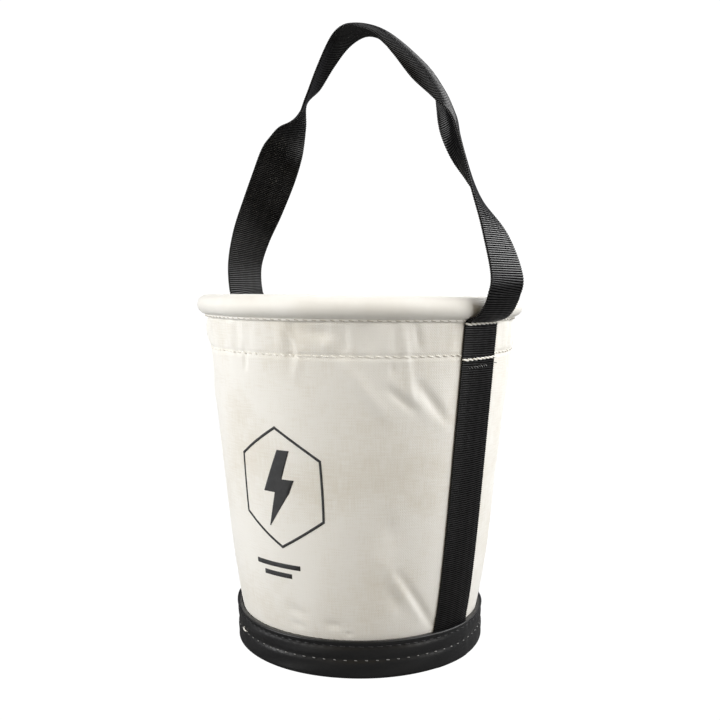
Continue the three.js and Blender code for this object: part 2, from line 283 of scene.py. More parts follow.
def add_node(tree: bpy.types.NodeTree, kind: str, settings: dict[str, Any] | None = None,
             inputs: dict[Any, Any] | None = None) -> bpy.types.Node:
    """Adds a shader node with its settings and its inputs.

    Args:
        tree: the node tree.
        kind: the node's type, without its ShaderNode prefix.
        settings: properties of the node.
        inputs: a value or another node's output for each input, by name or number.

    Returns:
        The node.
    """
    node = tree.nodes.new("ShaderNode" + kind)
    for name, value in (settings or {}).items():
        setattr(node, name, value)
    for key, value in (inputs or {}).items():
        if isinstance(value, bpy.types.NodeSocket):
            tree.links.new(value, node.inputs[key])
        else:
            node.inputs[key].default_value = value
    return node


@dataclass(frozen=True)
class Finish:
    """A surface's name, colours and gloss; each kind adds its own pattern.

    Attributes:
        name: what the material is and how it was made.
        colour: the main sRGB colour.
        shade: the sRGB colour of its darker places: random tone on the cloth and the skins, painted
            shade in the grooves of the webbing and the thread.
        roughness: the shader's roughness.
        sheen: the shader's sheen weight, for fuzz that lights up at a low angle.
    """

    name: str
    colour: str
    shade: str
    roughness: float
    sheen: float = 0.0

    def blank(self) -> tuple[bpy.types.Material, bpy.types.NodeTree, bpy.types.Node]:
        """Makes the material with its constants on the shader's own sockets.

        Returns:
            The material, its node tree and its Principled shader.
        """
        material = bpy.data.materials.new(self.name)
        material.use_nodes = True
        tree = material.node_tree
        shader = tree.nodes["Principled BSDF"]
        shader.inputs["Roughness"].default_value = self.roughness
        shader.inputs["Sheen Weight"].default_value = self.sheen
        return material, tree, shader

    def colour_by(self, tree: bpy.types.NodeTree, factor: bpy.types.NodeSocket,
                  low: float = 0.0, high: float = 1.0) -> bpy.types.NodeSocket:
        """Mixes from the shade to the main colour as the factor goes from low to high.

        Args:
            tree: the node tree.
            factor: a pattern's value.
            low: where the shade is whole.
            high: where the main colour is whole.

        Returns:
            The colour output.
        """
        ramp = add_node(tree, "ValToRGB", inputs={"Fac": factor})
        ramp.color_ramp.elements[0].position = low
        ramp.color_ramp.elements[0].color = linear(self.shade)
        ramp.color_ramp.elements[1].position = high
        ramp.color_ramp.elements[1].color = linear(self.colour)
        return ramp.outputs["Color"]


@dataclass(frozen=True)
class DuckCanvas(Finish):
    """Natural cotton duck, plain-woven: matt, cream, with a fine over-and-under grain.

    Attributes:
        thread: thread spacing in mm.
        slub: length of a thick place in a thread, in mm.
        mottle: size of the soft patches where the cotton is yellower, in mm.
    """

    thread: float = 1.1
    slub: float = 16.0
    mottle: float = 70.0

    def material(self) -> bpy.types.Material:
        """Builds the weave as sin(u) sin(v) over the cloth, with slubs and soft patches."""
        material, tree, shader = self.blank()
        cloth = add_node(tree, "UVMap", {"uv_map": "cloth"}).outputs["UV"]
        turns = 2 * math.pi * per_metre(2 * self.thread)
        phase = add_node(tree, "VectorMath", {"operation": "MULTIPLY"},
                         {0: cloth, 1: (turns, turns, 0)})
        parts = add_node(tree, "SeparateXYZ", inputs={0: phase.outputs[0]})
        across = add_node(tree, "Math", {"operation": "SINE"}, {0: parts.outputs["X"]})
        along = add_node(tree, "Math", {"operation": "SINE"}, {0: parts.outputs["Y"]})
        weave = add_node(tree, "Math", {"operation": "MULTIPLY"},
                         {0: across.outputs[0], 1: along.outputs[0]})
        stretched = add_node(tree, "VectorMath", {"operation": "MULTIPLY"},
                             {0: cloth, 1: (per_metre(self.slub), per_metre(self.thread), 0)})
        slubs = add_node(tree, "TexNoise", inputs={"Vector": stretched.outputs[0], "Scale": 1.0})
        upright = add_node(tree, "VectorMath", {"operation": "MULTIPLY"},
                           {0: cloth, 1: (per_metre(self.thread), per_metre(self.slub), 0)})
        warps = add_node(tree, "TexNoise", inputs={"Vector": upright.outputs[0], "Scale": 1.0})
        yarns = add_node(tree, "Math", {"operation": "ADD"},
                         {0: slubs.outputs[0], 1: warps.outputs[0]})
        patches = add_node(tree, "TexNoise",
                           inputs={"Vector": cloth, "Scale": per_metre(self.mottle),
                                   "Detail": 3.0})
        grain = add_node(tree, "Math", {"operation": "MULTIPLY_ADD"},
                         {0: weave.outputs[0], 1: 0.1, 2: patches.outputs[0]})
        mixed = add_node(tree, "Math", {"operation": "MULTIPLY_ADD"},
                         {0: yarns.outputs[0], 1: 0.42, 2: grain.outputs[0]})
        colour = self.colour_by(tree, mixed.outputs[0], 0.55, 1.05)
        tree.links.new(colour, shader.inputs["Base Color"])
        height = add_node(tree, "Math", {"operation": "MULTIPLY_ADD"},
                          {0: weave.outputs[0], 1: 0.3, 2: yarns.outputs[0]})
        bump = add_node(tree, "Bump", inputs={"Height": height.outputs[0], "Strength": 0.6,
                                              "Distance": 0.25 * MM})
        tree.links.new(bump.outputs[0], shader.inputs["Normal"])
        return material


@dataclass(frozen=True)
class RibbedWebbing(Finish):
    """Woven nylon webbing: near black, glossier on every cross rib, with a painted highlight on each
    rib's crown and painted shade in the grooves.

    Attributes:
        yarn: spacing of the slow bands that its yarns make across the webbing, in mm.
        fuzz: size of the uneven patches of wear, in mm.
    """

    yarn: float = 3 * math.pi
    fuzz: float = 9.0

    def material(self) -> bpy.types.Material:
        """Adds bands of yarn as sin(u) along each modelled rib, with a little uneven wear.

        The grooves between the ribs are duller and painted darker as painted shade, and the crowns are
        painted lighter as a
        painted highlight: a rib's share is |cos(pi v / pitch)|, 1 on its crown and 0 in the groove.
        """
        material, tree, shader = self.blank()
        shader.inputs["Sheen Roughness"].default_value = 0.45
        cloth = add_node(tree, "UVMap", {"uv_map": "cloth"}).outputs["UV"]
        waves = add_node(tree, "TexWave", {"bands_direction": "X", "wave_profile": "SIN"},
                         {"Vector": cloth, "Scale": wave_scale(self.yarn, WAVE_X),
                          "Distortion": 0.6, "Detail": 1.0, "Detail Scale": 40.0})
        fuzz = add_node(tree, "TexNoise", inputs={
            "Vector": cloth, "Scale": per_metre(self.fuzz), "Detail": 5.0})
        along = add_node(tree, "SeparateXYZ", inputs={0: cloth}).outputs["Y"]
        phase = add_node(tree, "Math", {"operation": "MULTIPLY"},
                         {0: along, 1: math.pi / (RIB_PITCH * MM)})
        swing = add_node(tree, "Math", {"operation": "COSINE"}, {0: phase.outputs[0]})
        ribs = add_node(tree, "Math", {"operation": "ABSOLUTE"}, {0: swing.outputs[0]})
        worn = add_node(tree, "Math", {"operation": "MULTIPLY_ADD"},
                        {0: waves.outputs["Fac"], 1: 0.25, 2: fuzz.outputs[0]})
        # Painted light: the rib share makes the crowns lighter as a painted highlight and the grooves
        # darker as painted shade, times the yarn bands and wear.
        mixed = add_node(tree, "Math", {"operation": "MULTIPLY"},
                         {0: worn.outputs[0], 1: ribs.outputs[0]})
        tree.links.new(self.colour_by(tree, mixed.outputs[0], 0.3, 0.8),
                       shader.inputs["Base Color"])
        gloss = add_node(tree, "MapRange", inputs={
            "Value": ribs.outputs[0], "From Min": 0.45, "From Max": 0.95,
            "To Min": 0.0, "To Max": 0.46})
        tree.links.new(gloss.outputs[0], shader.inputs["Specular IOR Level"])
        bump = add_node(tree, "Bump", inputs={"Height": waves.outputs["Fac"], "Strength": 0.45,
                                              "Distance": 0.25 * MM})
        tree.links.new(bump.outputs[0], shader.inputs["Normal"])
        return material


@dataclass(frozen=True)
class GrainedSkin(Finish):
    """A calendered or coated skin: even colour, a fine pebble grain and a few soft smears.

    Attributes:
        grain: size of a pebble, in mm.
        depth: how deep the grain is, in mm.
        smear: size of the soft changes in colour, in mm.
    """

    grain: float = 1.3
    depth: float = 0.06
    smear: float = 35.0

    def material(self) -> bpy.types.Material:
        """Uses a cell pattern for the pebbles and slow noise for colour and gloss."""
        material, tree, shader = self.blank()
        place = add_node(tree, "TexCoord").outputs["Object"]
        pebbles = add_node(tree, "TexVoronoi", {"feature": "SMOOTH_F1"},
                           {"Vector": place, "Scale": per_metre(self.grain)})
        smears = add_node(tree, "TexNoise", inputs={"Vector": place, "Detail": 4.0,
                                                    "Scale": per_metre(self.smear)})
        tree.links.new(self.colour_by(tree, smears.outputs[0], 0.3, 0.62),
                       shader.inputs["Base Color"])
        gloss = add_node(tree, "MapRange",
                         inputs={"Value": smears.outputs[0], "From Min": 0.3, "From Max": 0.7,
                                 "To Min": self.roughness + 0.07,
                                 "To Max": self.roughness - 0.05})
        tree.links.new(gloss.outputs[0], shader.inputs["Roughness"])
        bump = add_node(tree, "Bump", inputs={"Height": pebbles.outputs["Distance"],
                                              "Strength": 0.5, "Distance": self.depth * MM})
        tree.links.new(bump.outputs[0], shader.inputs["Normal"])
        return material


@dataclass(frozen=True)
class PliedThread(Finish):
    """Bonded sewing thread: three plies laid in a twist, with a faint waxed gloss.

    Attributes:
        ply: spacing of the bands that the twist makes, painted light on the plies and painted shade
            between them, in mm.
    """

    ply: float = 3.6 * math.pi

    def material(self) -> bpy.types.Material:
        """Draws the plies as slanted bands, with a painted highlight on top and painted shade in the
        grooves, and a matching bump.
        """
        material, tree, shader = self.blank()
        cloth = add_node(tree, "UVMap", {"uv_map": "cloth"}).outputs["UV"]
        plies = add_node(tree, "TexWave", {"bands_direction": "DIAGONAL"},
                         {"Vector": cloth, "Scale": wave_scale(self.ply, WAVE_SLANT),
                          "Distortion": 0.3})
        # Painted light: each ply is coloured lighter on top as a painted highlight and darker in its
        # groove as painted shade.
        tree.links.new(self.colour_by(tree, plies.outputs["Fac"], 0.0, 0.45),
                       shader.inputs["Base Color"])
        bump = add_node(tree, "Bump", inputs={"Height": plies.outputs["Fac"], "Strength": 0.5,
                                              "Distance": 0.2 * MM})
        tree.links.new(bump.outputs[0], shader.inputs["Normal"])
        return material


@dataclass(frozen=True)
class Finishes:
    """The bucket's finishes, each built once."""

    canvas: bpy.types.Material = field(default_factory=lambda: DuckCanvas(
        "natural_cotton_duck_plain_woven", "#f3f2ed", "#e1dcd0", 0.92, 0.1).material())
    rim: bpy.types.Material = field(default_factory=lambda: GrainedSkin(
        "white_coated_rim_cloth_calendered", "#f5f4ef", "#eceae3", 0.55, 0.1,
        grain=0.9, depth=0.03).material())
    hoop: bpy.types.Material = field(default_factory=lambda: GrainedSkin(
        "polyethylene_hoop_extruded", "#cfcfca", "#bdbdb8", 0.45).material())
    board: bpy.types.Material = field(default_factory=lambda: GrainedSkin(
        "fibre_board_pressed", "#3a3937", "#2c2b2a", 0.8, grain=2.2, depth=0.2).material())
    vinyl: bpy.types.Material = field(default_factory=lambda: GrainedSkin(
        "black_vinyl_calendered", "#131416", "#0e0f11", 0.4, grain=1.1,
        depth=0.05).material())
    # The webbing's main colour is a painted highlight on its rib crowns, and its shade colour is
    # painted shade in its grooves.
    webbing: bpy.types.Material = field(default_factory=lambda: RibbedWebbing(
        "nylon_webbing_woven_black", "#181819", "#020202", 0.3).material())
    white_thread: bpy.types.Material = field(default_factory=lambda: PliedThread(
        "bonded_thread_twisted_white", "#fbfaf4", "#cfcabb", 0.6, 0.1).material())
    # White thread painted grey: painted shade for the rim row, which lies in the shadow under the rim.
    rim_thread: bpy.types.Material = field(default_factory=lambda: PliedThread(
        "bonded_thread_twisted_natural", "#c4c0b4", "#85817a", 0.6).material())
    # Grey thread: on the boot's lower row it is white thread painted grey as painted shade, on the
    # strap tacks black thread painted grey as a painted glint.
    grey_thread_painted_shade_and_glint: bpy.types.Material = field(default_factory=lambda: PliedThread(
        "bonded_thread_twisted_white_sunk", "#8d8d8c", "#55565a", 0.6).material())
    black_thread: bpy.types.Material = field(default_factory=lambda: PliedThread(
        "bonded_thread_twisted_black", "#2c2c2e", "#0d0d0e", 0.45).material())
    ink: bpy.types.Material = field(default_factory=lambda: GrainedSkin(
        "screen_print_ink_black", "#303133", "#3d3e40", 0.75, grain=1.7, depth=0.1,
        smear=6.0).material())


# ---- Shared shape -----------------------------------------------------------------------------

@dataclass(frozen=True)
class Crease:
    """A soft ridge or dent along a straight line on the wall as laid out flat.

    Attributes:
        start: azimuth in degrees and height in mm.
        end: azimuth in degrees and height in mm.
        rise: how far it stands out at its middle line, in mm; below zero is a dent.
        spread: how wide it is, in mm.
    """

    start: tuple[float, float]
    end: tuple[float, float]
    rise: float
    spread: float


# Puckers round the mouth: rise in mm, waves in a full turn, and phase in radians.
PUCKERS = ((0.30, 19, 0.3), (0.26, 31, 2.1), (0.22, 43, 4.0), (0.16, 61, 1.2))

FRONT_CREASES = (
    Crease((-89, 281), (-89.5, 263), -1.5, 2.4),
    Crease((-70, 299), (-66, 280), 1.2, 2.6),
    Crease((-66, 279), (-68, 256), 0.9, 4),
    Crease((-64, 296), (-54, 294), -1.4, 5),
    Crease((-57, 289), (-57, 280), 1.0, 4),
    Crease((-50.5, 297), (-50, 280), -0.9, 3.5),
    Crease((-42, 298), (-41, 278), -1.0, 4.5),
    Crease((-51, 270), (-37, 228), 1.3, 6),
    Crease((-32, 301), (-30, 272), 1.7, 3),
    Crease((-30, 272), (-27.5, 236), 1.4, 3.6),
    Crease((-27, 301), (-25.5, 282), -1.4, 3),
    Crease((-35, 271), (-34.5, 262), -1.1, 3),
    Crease((-35.7, 249), (-26.6, 232), -1.8, 3.6),
    Crease((-31, 252), (-21, 226), 0.9, 6),
    Crease((-25, 253), (-14, 222), -1.9, 4.6),
    Crease((-16, 246), (-14, 214), 0.9, 8),
    Crease((-30.5, 92), (-13, 41), -2.0, 4.4),
    Crease((-38, 106), (-20, 55), 1.0, 7),
    Crease((-35, 140), (-33, 120), -1.2, 8),
    Crease((-33, 75), (-29, 60), -1.2, 6),
    Crease((-77, 57), (-70, 53), -0.9, 4.5),
    Crease((-76, 43), (-71, 41), -0.7, 3),
    Crease((-60, 47), (-54, 45), -0.8, 3.5),
    Crease((-51.5, 38.5), (-48.5, 37.5), -0.8, 1.5),
)
SIDE_SWELLS = (
    Crease((-142, 291), (-126, 289), 1.6, 9),
    Crease((-142, 262), (-126, 260), -1.6, 9),
    Crease((-140, 236), (-126, 232), 1.0, 12),
    Crease((34, 287), (52, 283), 3.2, 15),
    Crease((32, 250), (52, 246), 1.8, 22),
    Crease((34, 150), (52, 140), -1.2, 30),
)
BACK_CREASES = (
    Crease((24, 298), (27, 262), -1.2, 4),
    Crease((52, 296), (49, 240), 1.2, 5),
    Crease((118, 290), (131, 236), -1.5, 5),
    Crease((146, 280), (150, 248), 1.1, 4),
    Crease((40, 96), (60, 48), -1.6, 6),
    Crease((128, 80), (112, 44), 1.5, 6),
    Crease((-152, 292), (-148, 250), 1.2, 4),
    Crease((-130, 90), (-118, 46), -1.3, 6),
)


@dataclass(frozen=True)
class Layout:
    """Heights and radii that several pieces share, in metres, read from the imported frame.

    Attributes:
        rim_height: height of the hoop's centre line; rim_radius is its radius.
        rim_tube: radius of the wrap's section.
        mouth_radius: the wall's outer radius at its top edge.
        canvas: thickness of the cloth; webbing is the strap's.
        clearance: gap between layers that lie on each other.
        cone_foot: radius of the wall's straight cone at the floor.
        tuck_depth: how far the boot pulls the wall in, felt over tuck_reach above it.
        boot_lip: how far below the boot's top the wall begins to widen.
        lean: how far the mouth rises for each metre towards azimuth -135 degrees.
        fold_strength: what every crease is multiplied by.
    """

    rim_height: float
    rim_tube: float
    rim_radius: float
    wall_foot: float
    wall_top: float
    mouth_radius: float
    boot_height: float
    boot_radius: float
    hem_row: float
    strap_upper_row: float
    strap_lower_row: float
    tack_row: float
    boot_upper_row: float
    boot_lower_row: float
    webbing_width: float
    canvas: float = 1.5 * MM
    clearance: float = 0.4 * MM
    webbing: float = 1.8 * MM
    cone_foot: float = 113.2 * MM
    tuck_depth: float = 4.5 * MM
    tuck_reach: float = 38 * MM
    boot_lip: float = 3 * MM
    lean: float = 0.011
    fold_strength: float = 1.25

    @classmethod
    def from_frame(cls) -> "Layout":
        """Reads the shared sizes off the frame's nodes.

        Returns:
            The layout.
        """
        def middle(node: str) -> float:
            """The height of a node's middle."""
            low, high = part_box(node)
            return (low.z + high.z) / 2

        wrap, wall, boot = (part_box(n)[1] for n in ("rim_wrap", "wall_canvas", "base_boot"))
        rim_height = middle("rim_hoop")
        strap_low, strap_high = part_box("strap_upper_thread_right")
        return cls(
            rim_height=rim_height,
            rim_tube=wrap.z - rim_height,
            rim_radius=wrap.x - (wrap.z - rim_height),
            wall_foot=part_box("wall_canvas")[0].z,
            wall_top=wall.z,
            mouth_radius=wall.x,
            boot_height=boot.z,
            boot_radius=boot.x,
            hem_row=middle("hem_thread_front"),
            strap_upper_row=middle("strap_upper_thread_right"),
            strap_lower_row=middle("strap_lower_thread_right"),
            tack_row=middle("strap_tack_right"),
            boot_upper_row=middle("boot_upper_thread"),
            boot_lower_row=middle("boot_lower_thread"),
            webbing_width=strap_high.y - strap_low.y,
        )

    @property
    def rim_row(self) -> float:
        """Height of the row of stitches just under the rim."""
        return self.rim_height - self.rim_tube - 1.3 * MM

    def cone(self, height: Array | float) -> Array:
        """Plain radius of the wall: a straight cone that is pulled in towards the boot.

        The cone runs from cone_foot at the floor to the mouth, less
        tuck_depth exp(-(z - gripped) / tuck_reach). Below gripped it stays the same.

        Args:
            height: heights, in metres.

        Returns:
            Radii of the outer face.
        """
        gripped = self.boot_height - self.boot_lip
        z = np.maximum(height, gripped)
        straight = self.cone_foot + (self.mouth_radius - self.cone_foot) * z / self.wall_top
        return straight - self.tuck_depth * np.exp(-(z - gripped) / self.tuck_reach)

    def strap_cover(self, azimuth: Array, margin: float = 3 * MM) -> Array:
        """1 under a strap and 0 away from it, with a soft edge.

        Args:
            azimuth: azimuths, in radians.
            margin: how far past the strap's edge it stays 1.

        Returns:
            Numbers from 0 to 1.
        """
        across = self.rim_radius * np.abs(np.arcsin(np.sin(azimuth)))
        return 1 / (1 + np.exp((across - self.webbing_width / 2 - margin) / (1.6 * MM)))

    def relief(self, azimuth: Array, height: Array) -> Array:
        """How far the cloth stands out from its plain cone.

        The sum, in mm, of slow out-of-round waves, puckers between the rim row and the hem row, a
        groove along each row of stitches, the back seam's lap and every crease. A crease is
        rise exp(-(distance to its line / spread) squared). The straps, the boot and the rim's
        wrap press it flat.

        Args:
            azimuth: azimuths, in radians.
            height: heights, in metres.

        Returns:
            Offsets along the radius, in metres.
        """
        a, z = azimuth, height
        band_reach, below_reach, row_reach, calm_reach = 13 * MM, 14 * MM, 1.8 * MM, 12 * MM
        lap_half, lap_edge, lap_rise = 7 * MM, 0.6 * MM, 0.9
        share = z / self.wall_top
        out = 0.7 * np.cos(2 * a + 0.6) * share + 0.5 * np.cos(3 * a - 1.1) * np.sin(3 * share)
        out += 0.22 * np.cos(7 * a + 5 * share) + 0.16 * np.cos(12 * a - 9 * share + 2)
        middle = (self.rim_row + self.hem_row) / 2
        band = np.exp(-((z - middle) / band_reach) ** 4)
        below = np.exp(-np.maximum(self.hem_row - z, 0) / below_reach) * (z < self.hem_row + MM)
        puckers = sum(rise * np.cos(waves * a + phase) for rise, waves, phase in PUCKERS)
        out += puckers * (1.6 * band + 0.8 * below)
        for row, depth in ((self.rim_row, 0.6), (self.hem_row, 1.1)):
            out -= depth * np.exp(-((z - row) / row_reach) ** 2)
        out *= 1 - np.exp(-np.maximum(z - self.boot_height, 0) / calm_reach)
        for crease in FRONT_CREASES + SIDE_SWELLS + BACK_CREASES:
            out += self.fold_strength * self.crease(crease, a, z)
        lap = self.rim_radius * (a - np.pi / 2)
        out += (lap_rise / (1 + np.exp(-(lap + lap_half) / lap_edge))
                / (1 + np.exp((lap - lap_half) / lap_edge)))
        pressed = self.strap_cover(a)
        free = 1 / (1 + np.exp(-(z - self.boot_height - 3 * MM) / (1.0 * MM)))
        tucked = 1 / (1 + np.exp((z - self.rim_row - 1.0 * MM) / (0.5 * MM)))
        return MM * out * (1 - pressed) * free * tucked

    def crease(self, crease: Crease, azimuth: Array, height: Array) -> Array:
        """One crease's height over the wall as laid out flat.

        Args:
            crease: the crease.
            azimuth: azimuths, in radians.
            height: heights, in metres.

        Returns:
            Its share of the relief, in mm.
        """
        start, end = np.array(crease.start), np.array(crease.end)
        arc = self.rim_radius * math.radians(1) / MM
        apart = (np.degrees(azimuth) - start[0] + 180) % 360 - 180
        x, y = apart * arc, height / MM - start[1]
        run = (end - start) * np.array([arc, 1])
        share = np.clip((x * run[0] + y * run[1]) / (run @ run), 0, 1)
        squared = (x - share * run[0]) ** 2 + (y - share * run[1]) ** 2
        fade = np.sin(np.pi * (0.15 + 0.7 * share))
        return crease.rise * fade * np.exp(-squared / crease.spread ** 2)

    def wall(self, azimuth: Array, height: Array, inset: float = 0.0) -> Array:
        """Places on the wall, set in from its outer face.

        Args:
            azimuth: azimuths, in radians.
            height: heights, in metres.
            inset: depth below the outer face; below zero is proud of it.

        Returns:
            The places, with a last axis of three.
        """
        radius = self.cone(height) + self.relief(azimuth, height) - inset
        return ring_points(radius, azimuth, height)

    def settle(self, points: Array) -> Array:
        """Leans the mouth: the soft wall stands a little taller on one side.

        Heights grow by lean times the distance from the axis towards azimuth -135 degrees, times
        the share of the rim's height, which stops at 1.

        Args:
            points: places, with a last axis of three.

        Returns:
            The places after the lean.
        """
        moved = points.copy()
        share = np.clip((points[..., 2] - self.boot_height) / self.rim_height, 0, 1)
        aside = -(points[..., 0] + points[..., 1]) / math.sqrt(2)
        moved[..., 2] += self.lean * share * aside
        return moved


def ring_points(radius: Array, azimuth: Array, height: Array) -> Array:
    """Places at (r cos a, r sin a, z).

    Args:
        radius: radii.
        azimuth: azimuths, in radians.
        height: heights.

    Returns:
        The places, with a last axis of three.
    """
    radius, azimuth, height = np.broadcast_arrays(radius, azimuth, height)
    return np.stack([radius * np.cos(azimuth), radius * np.sin(azimuth), height], -1)


def ring_surface(rings: Array, radius: float) -> Surface:
    """Closes rows of rings, which meet again at the first row, into a skin with cloth uvs.

    Args:
        rings: rows x columns x 3 places; columns go once round the axis.
        radius: the radius that turns an azimuth into a length of cloth.

    Returns:
        The closed surface.
    """
    rows, columns = rings.shape[:2]
    step = np.linalg.norm(np.diff(rings[:, 0], axis=0, append=rings[:1, 0]), axis=-1)
    along = np.concatenate([[0], np.cumsum(step)])
    around = np.linspace(0, 2 * np.pi * radius, columns + 1)
    uv = np.stack(np.broadcast_arrays(around[None, :], along[:, None]), -1)
    return closed_grid(rings, uv)


# ---- Stitches ---------------------------------------------------------------------------------

@dataclass(frozen=True)
class Stitch:
    """One stitch's own shape: a short plied thread that dives into the cloth at both ends.

    Attributes:
        length: from hole to hole.
        thickness: the thread's diameter.
        arch: how far its middle stands proud of its ends.
        slant: how far its ends lie apart across the row.
    """

    length: float
    thickness: float
    arch: float = 0.5 * MM
    slant: float = 0.8 * MM
    rings: int = 7
    sides: int = 6

    def shape(self) -> Array:
        """Works out the stitch in its own directions: along the row, out, and across.

        The middle line is (t L/2, arch (1 - t squared) - half the arch, slant t / 2) for t from
        -1 to 1; its radius shrinks at the ends as the fourth root of 1 - t to the sixth.

        Returns:
            rings x sides x 3 places.
        """
        t = np.linspace(-1, 1, self.rings)[:, None]
        turn = np.linspace(0, 2 * np.pi, self.sides, endpoint=False)[None, :]
        radius = self.thickness / 2 * np.maximum(1 - t ** 6, 0.05) ** 0.25
        along = t * self.length / 2 + 0 * turn
        out = self.arch * (1 - t ** 2) - self.arch / 2 + radius * np.cos(turn)
        across = self.slant * t / 2 + radius * np.sin(turn)
        return np.stack([along, out, across], -1)


def sew(stitch: Stitch, places: Array, along: Array, out: Array,
        seed: int, unevenness: float = 0.12) -> Surface:
    """Copies a stitch to each place of a row, each a little different.

    Args:
        stitch: the stitch.
        places: n x 3 middles of the stitches.
        along: n x 3 unit directions of the row.
        out: n x 3 unit directions out of the cloth.
        seed: seed of the small differences.
        unevenness: spread of the differences, as a share of the stitch.

    Returns:
        All the stitches as one surface of closed bodies.
    """
    random = np.random.default_rng(seed)
    count = len(places)
    scale = 1 + unevenness * random.standard_normal((count, 1, 1, 3)).clip(-2, 2)
    local = stitch.shape()[None] * scale
    across = np.cross(along, out)
    axes = np.stack([along, out, across], 1)
    points = places[:, None, None, :] + np.einsum("nrsk,nkj->nrsj", local, axes)
    rings, sides = stitch.rings, stitch.sides
    ring, side = np.meshgrid(np.arange(rings - 1), np.arange(sides), indexing="ij")
    corners = [(0, 0), (0, 1), (1, 1), (1, 0)]
    one = np.stack([(ring + i) * sides + (side + j) % sides for i, j in corners],
                   -1).reshape(-1, 4)
    first = (np.arange(count) * rings * sides)[:, None, None]
    quads = (one[None] + first).reshape(-1, 4)
    caps = np.stack([np.arange(sides)[::-1], (rings - 1) * sides + np.arange(sides)])
    ends = (caps[None] + first).reshape(-1, sides)
    lengths = np.linspace(0, stitch.length, rings)
    girth = np.linspace(0, math.pi * stitch.thickness, sides + 1)
    quad_uv = np.stack([np.stack([lengths[ring + i], girth[side + j]], -1) for i, j in corners],
                       2).reshape(-1, 4, 2)
    uvs = [np.tile(quad_uv, (count, 1, 1)), np.zeros((len(ends), sides, 2))]
    return Surface(points.reshape(-1, 3), [quads, ends], uvs).facing_out()


def row_steps(start: float, end: float, radius: float, pitch: float) -> Array:
    """Azimuths of a row's stitches, evenly spaced at about the pitch.

    Args:
        start: first azimuth, in radians.
        end: last azimuth, in radians.
        radius: the row's radius.
        pitch: spacing of the stitches.

    Returns:
        The azimuths.
    """
    count = max(2, round(abs(end - start) * radius / pitch) + 1)
    return np.linspace(start, end, count)


# ---- Cloth ------------------------------------------------------------------------------------

@dataclass
class CanvasBody:
    """The canvas wall, its hem facing, the floor and its board.

    Attributes:
        columns: steps round the wall; outer_rows and inner_rows are steps up each face.
        low_rows: how many of the outer rows are behind the boot.
        hem_tail: how far the facing runs below the hem row.
        skirt_top: height of the floor's turned-up edge.
    """

    layout: Layout
    finishes: Finishes
    columns: int = 440
    outer_rows: int = 168
    low_rows: int = 6
    inner_rows: int = 40
    hem_tail: float = 7 * MM
    skirt_top: float = 30 * MM

    def build(self) -> None:
        """Makes the four pieces."""
        self.wall()
        self.facing()
        self.floor()

    def wall(self) -> None:
        """Makes the wall: its outer face up, then its inner face down, all round."""
        lay = self.layout
        turn = np.linspace(0, 2 * np.pi, self.columns, endpoint=False)[None, :]
        low = np.linspace(lay.wall_foot, lay.boot_height - 2 * MM, self.low_rows)[:, None]
        high = np.linspace(lay.boot_height, lay.wall_top,
                           self.outer_rows - self.low_rows)[:, None]
        up = np.concatenate([low, high])
        down = np.linspace(lay.wall_top, lay.wall_foot, self.inner_rows)[:, None]
        rings = np.concatenate([
            lay.wall(turn, up), lay.wall(turn, down, lay.canvas)])
        surface = ring_surface(lay.settle(rings), lay.mouth_radius)
        piece = make_piece("canvas_wall", surface, self.finishes.canvas,
                           Body.BUCKET, ("wall_canvas",))
        heights = np.linspace(lay.wall_foot, lay.wall_top, 50)
        girth = 2 * np.pi * lay.cone(heights)

    def facing(self) -> None:
        """Makes the hem facing, which follows the wall's folds inside the mouth."""
        lay = self.layout
        inset = lay.canvas + lay.clearance
        turn = np.linspace(0, 2 * np.pi, 360, endpoint=False)[None, :]
        up = np.linspace(lay.hem_row - self.hem_tail, lay.wall_top, 26)[:, None]
        rings = np.concatenate([
            lay.wall(turn, up, inset), lay.wall(turn, up[::-1], inset + lay.canvas)])
        surface = ring_surface(lay.settle(rings), lay.mouth_radius)
        piece = make_piece("canvas_hem_facing", surface, self.finishes.canvas,
                           Body.BUCKET, ("hem_facing",))

    def floor(self) -> None:
        """Makes the floor with its turned-up edge, and the board that lies on it."""
        lay = self.layout
        low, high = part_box("floor_canvas")
        radius = high.x
        inner = radius - lay.canvas
        soft = 2 * MM
        top = low.z + lay.canvas
        bend = np.linspace(0, np.pi / 2, 5)
        outside = np.stack([radius - soft + soft * np.sin(bend),
                            low.z + soft - soft * np.cos(bend)], -1)
        rings = np.linspace(0.15, 1, 7)[:, None]
        profile = np.concatenate([
            [[0, low.z]],
            rings[:-1] * [radius - soft, 0] + [0, low.z],
            outside,
            [[radius, self.skirt_top], [inner, self.skirt_top], [inner, top + MM],
             [inner - MM, top]],
            rings[-2::-1] * [inner - MM, 0] + [0, top],
            [[0, top]],
        ])
        piece = make_piece("canvas_floor", turned(profile), self.finishes.canvas,
                           Body.BUCKET, ("floor_canvas",))
        low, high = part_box("floor_stiffener")
        board = turned(disc_profile(low.z, high.z, high.x, 0.6 * MM))
        make_piece("floor_board", board, self.finishes.board,
                   Body.BUCKET, ("floor_stiffener",))


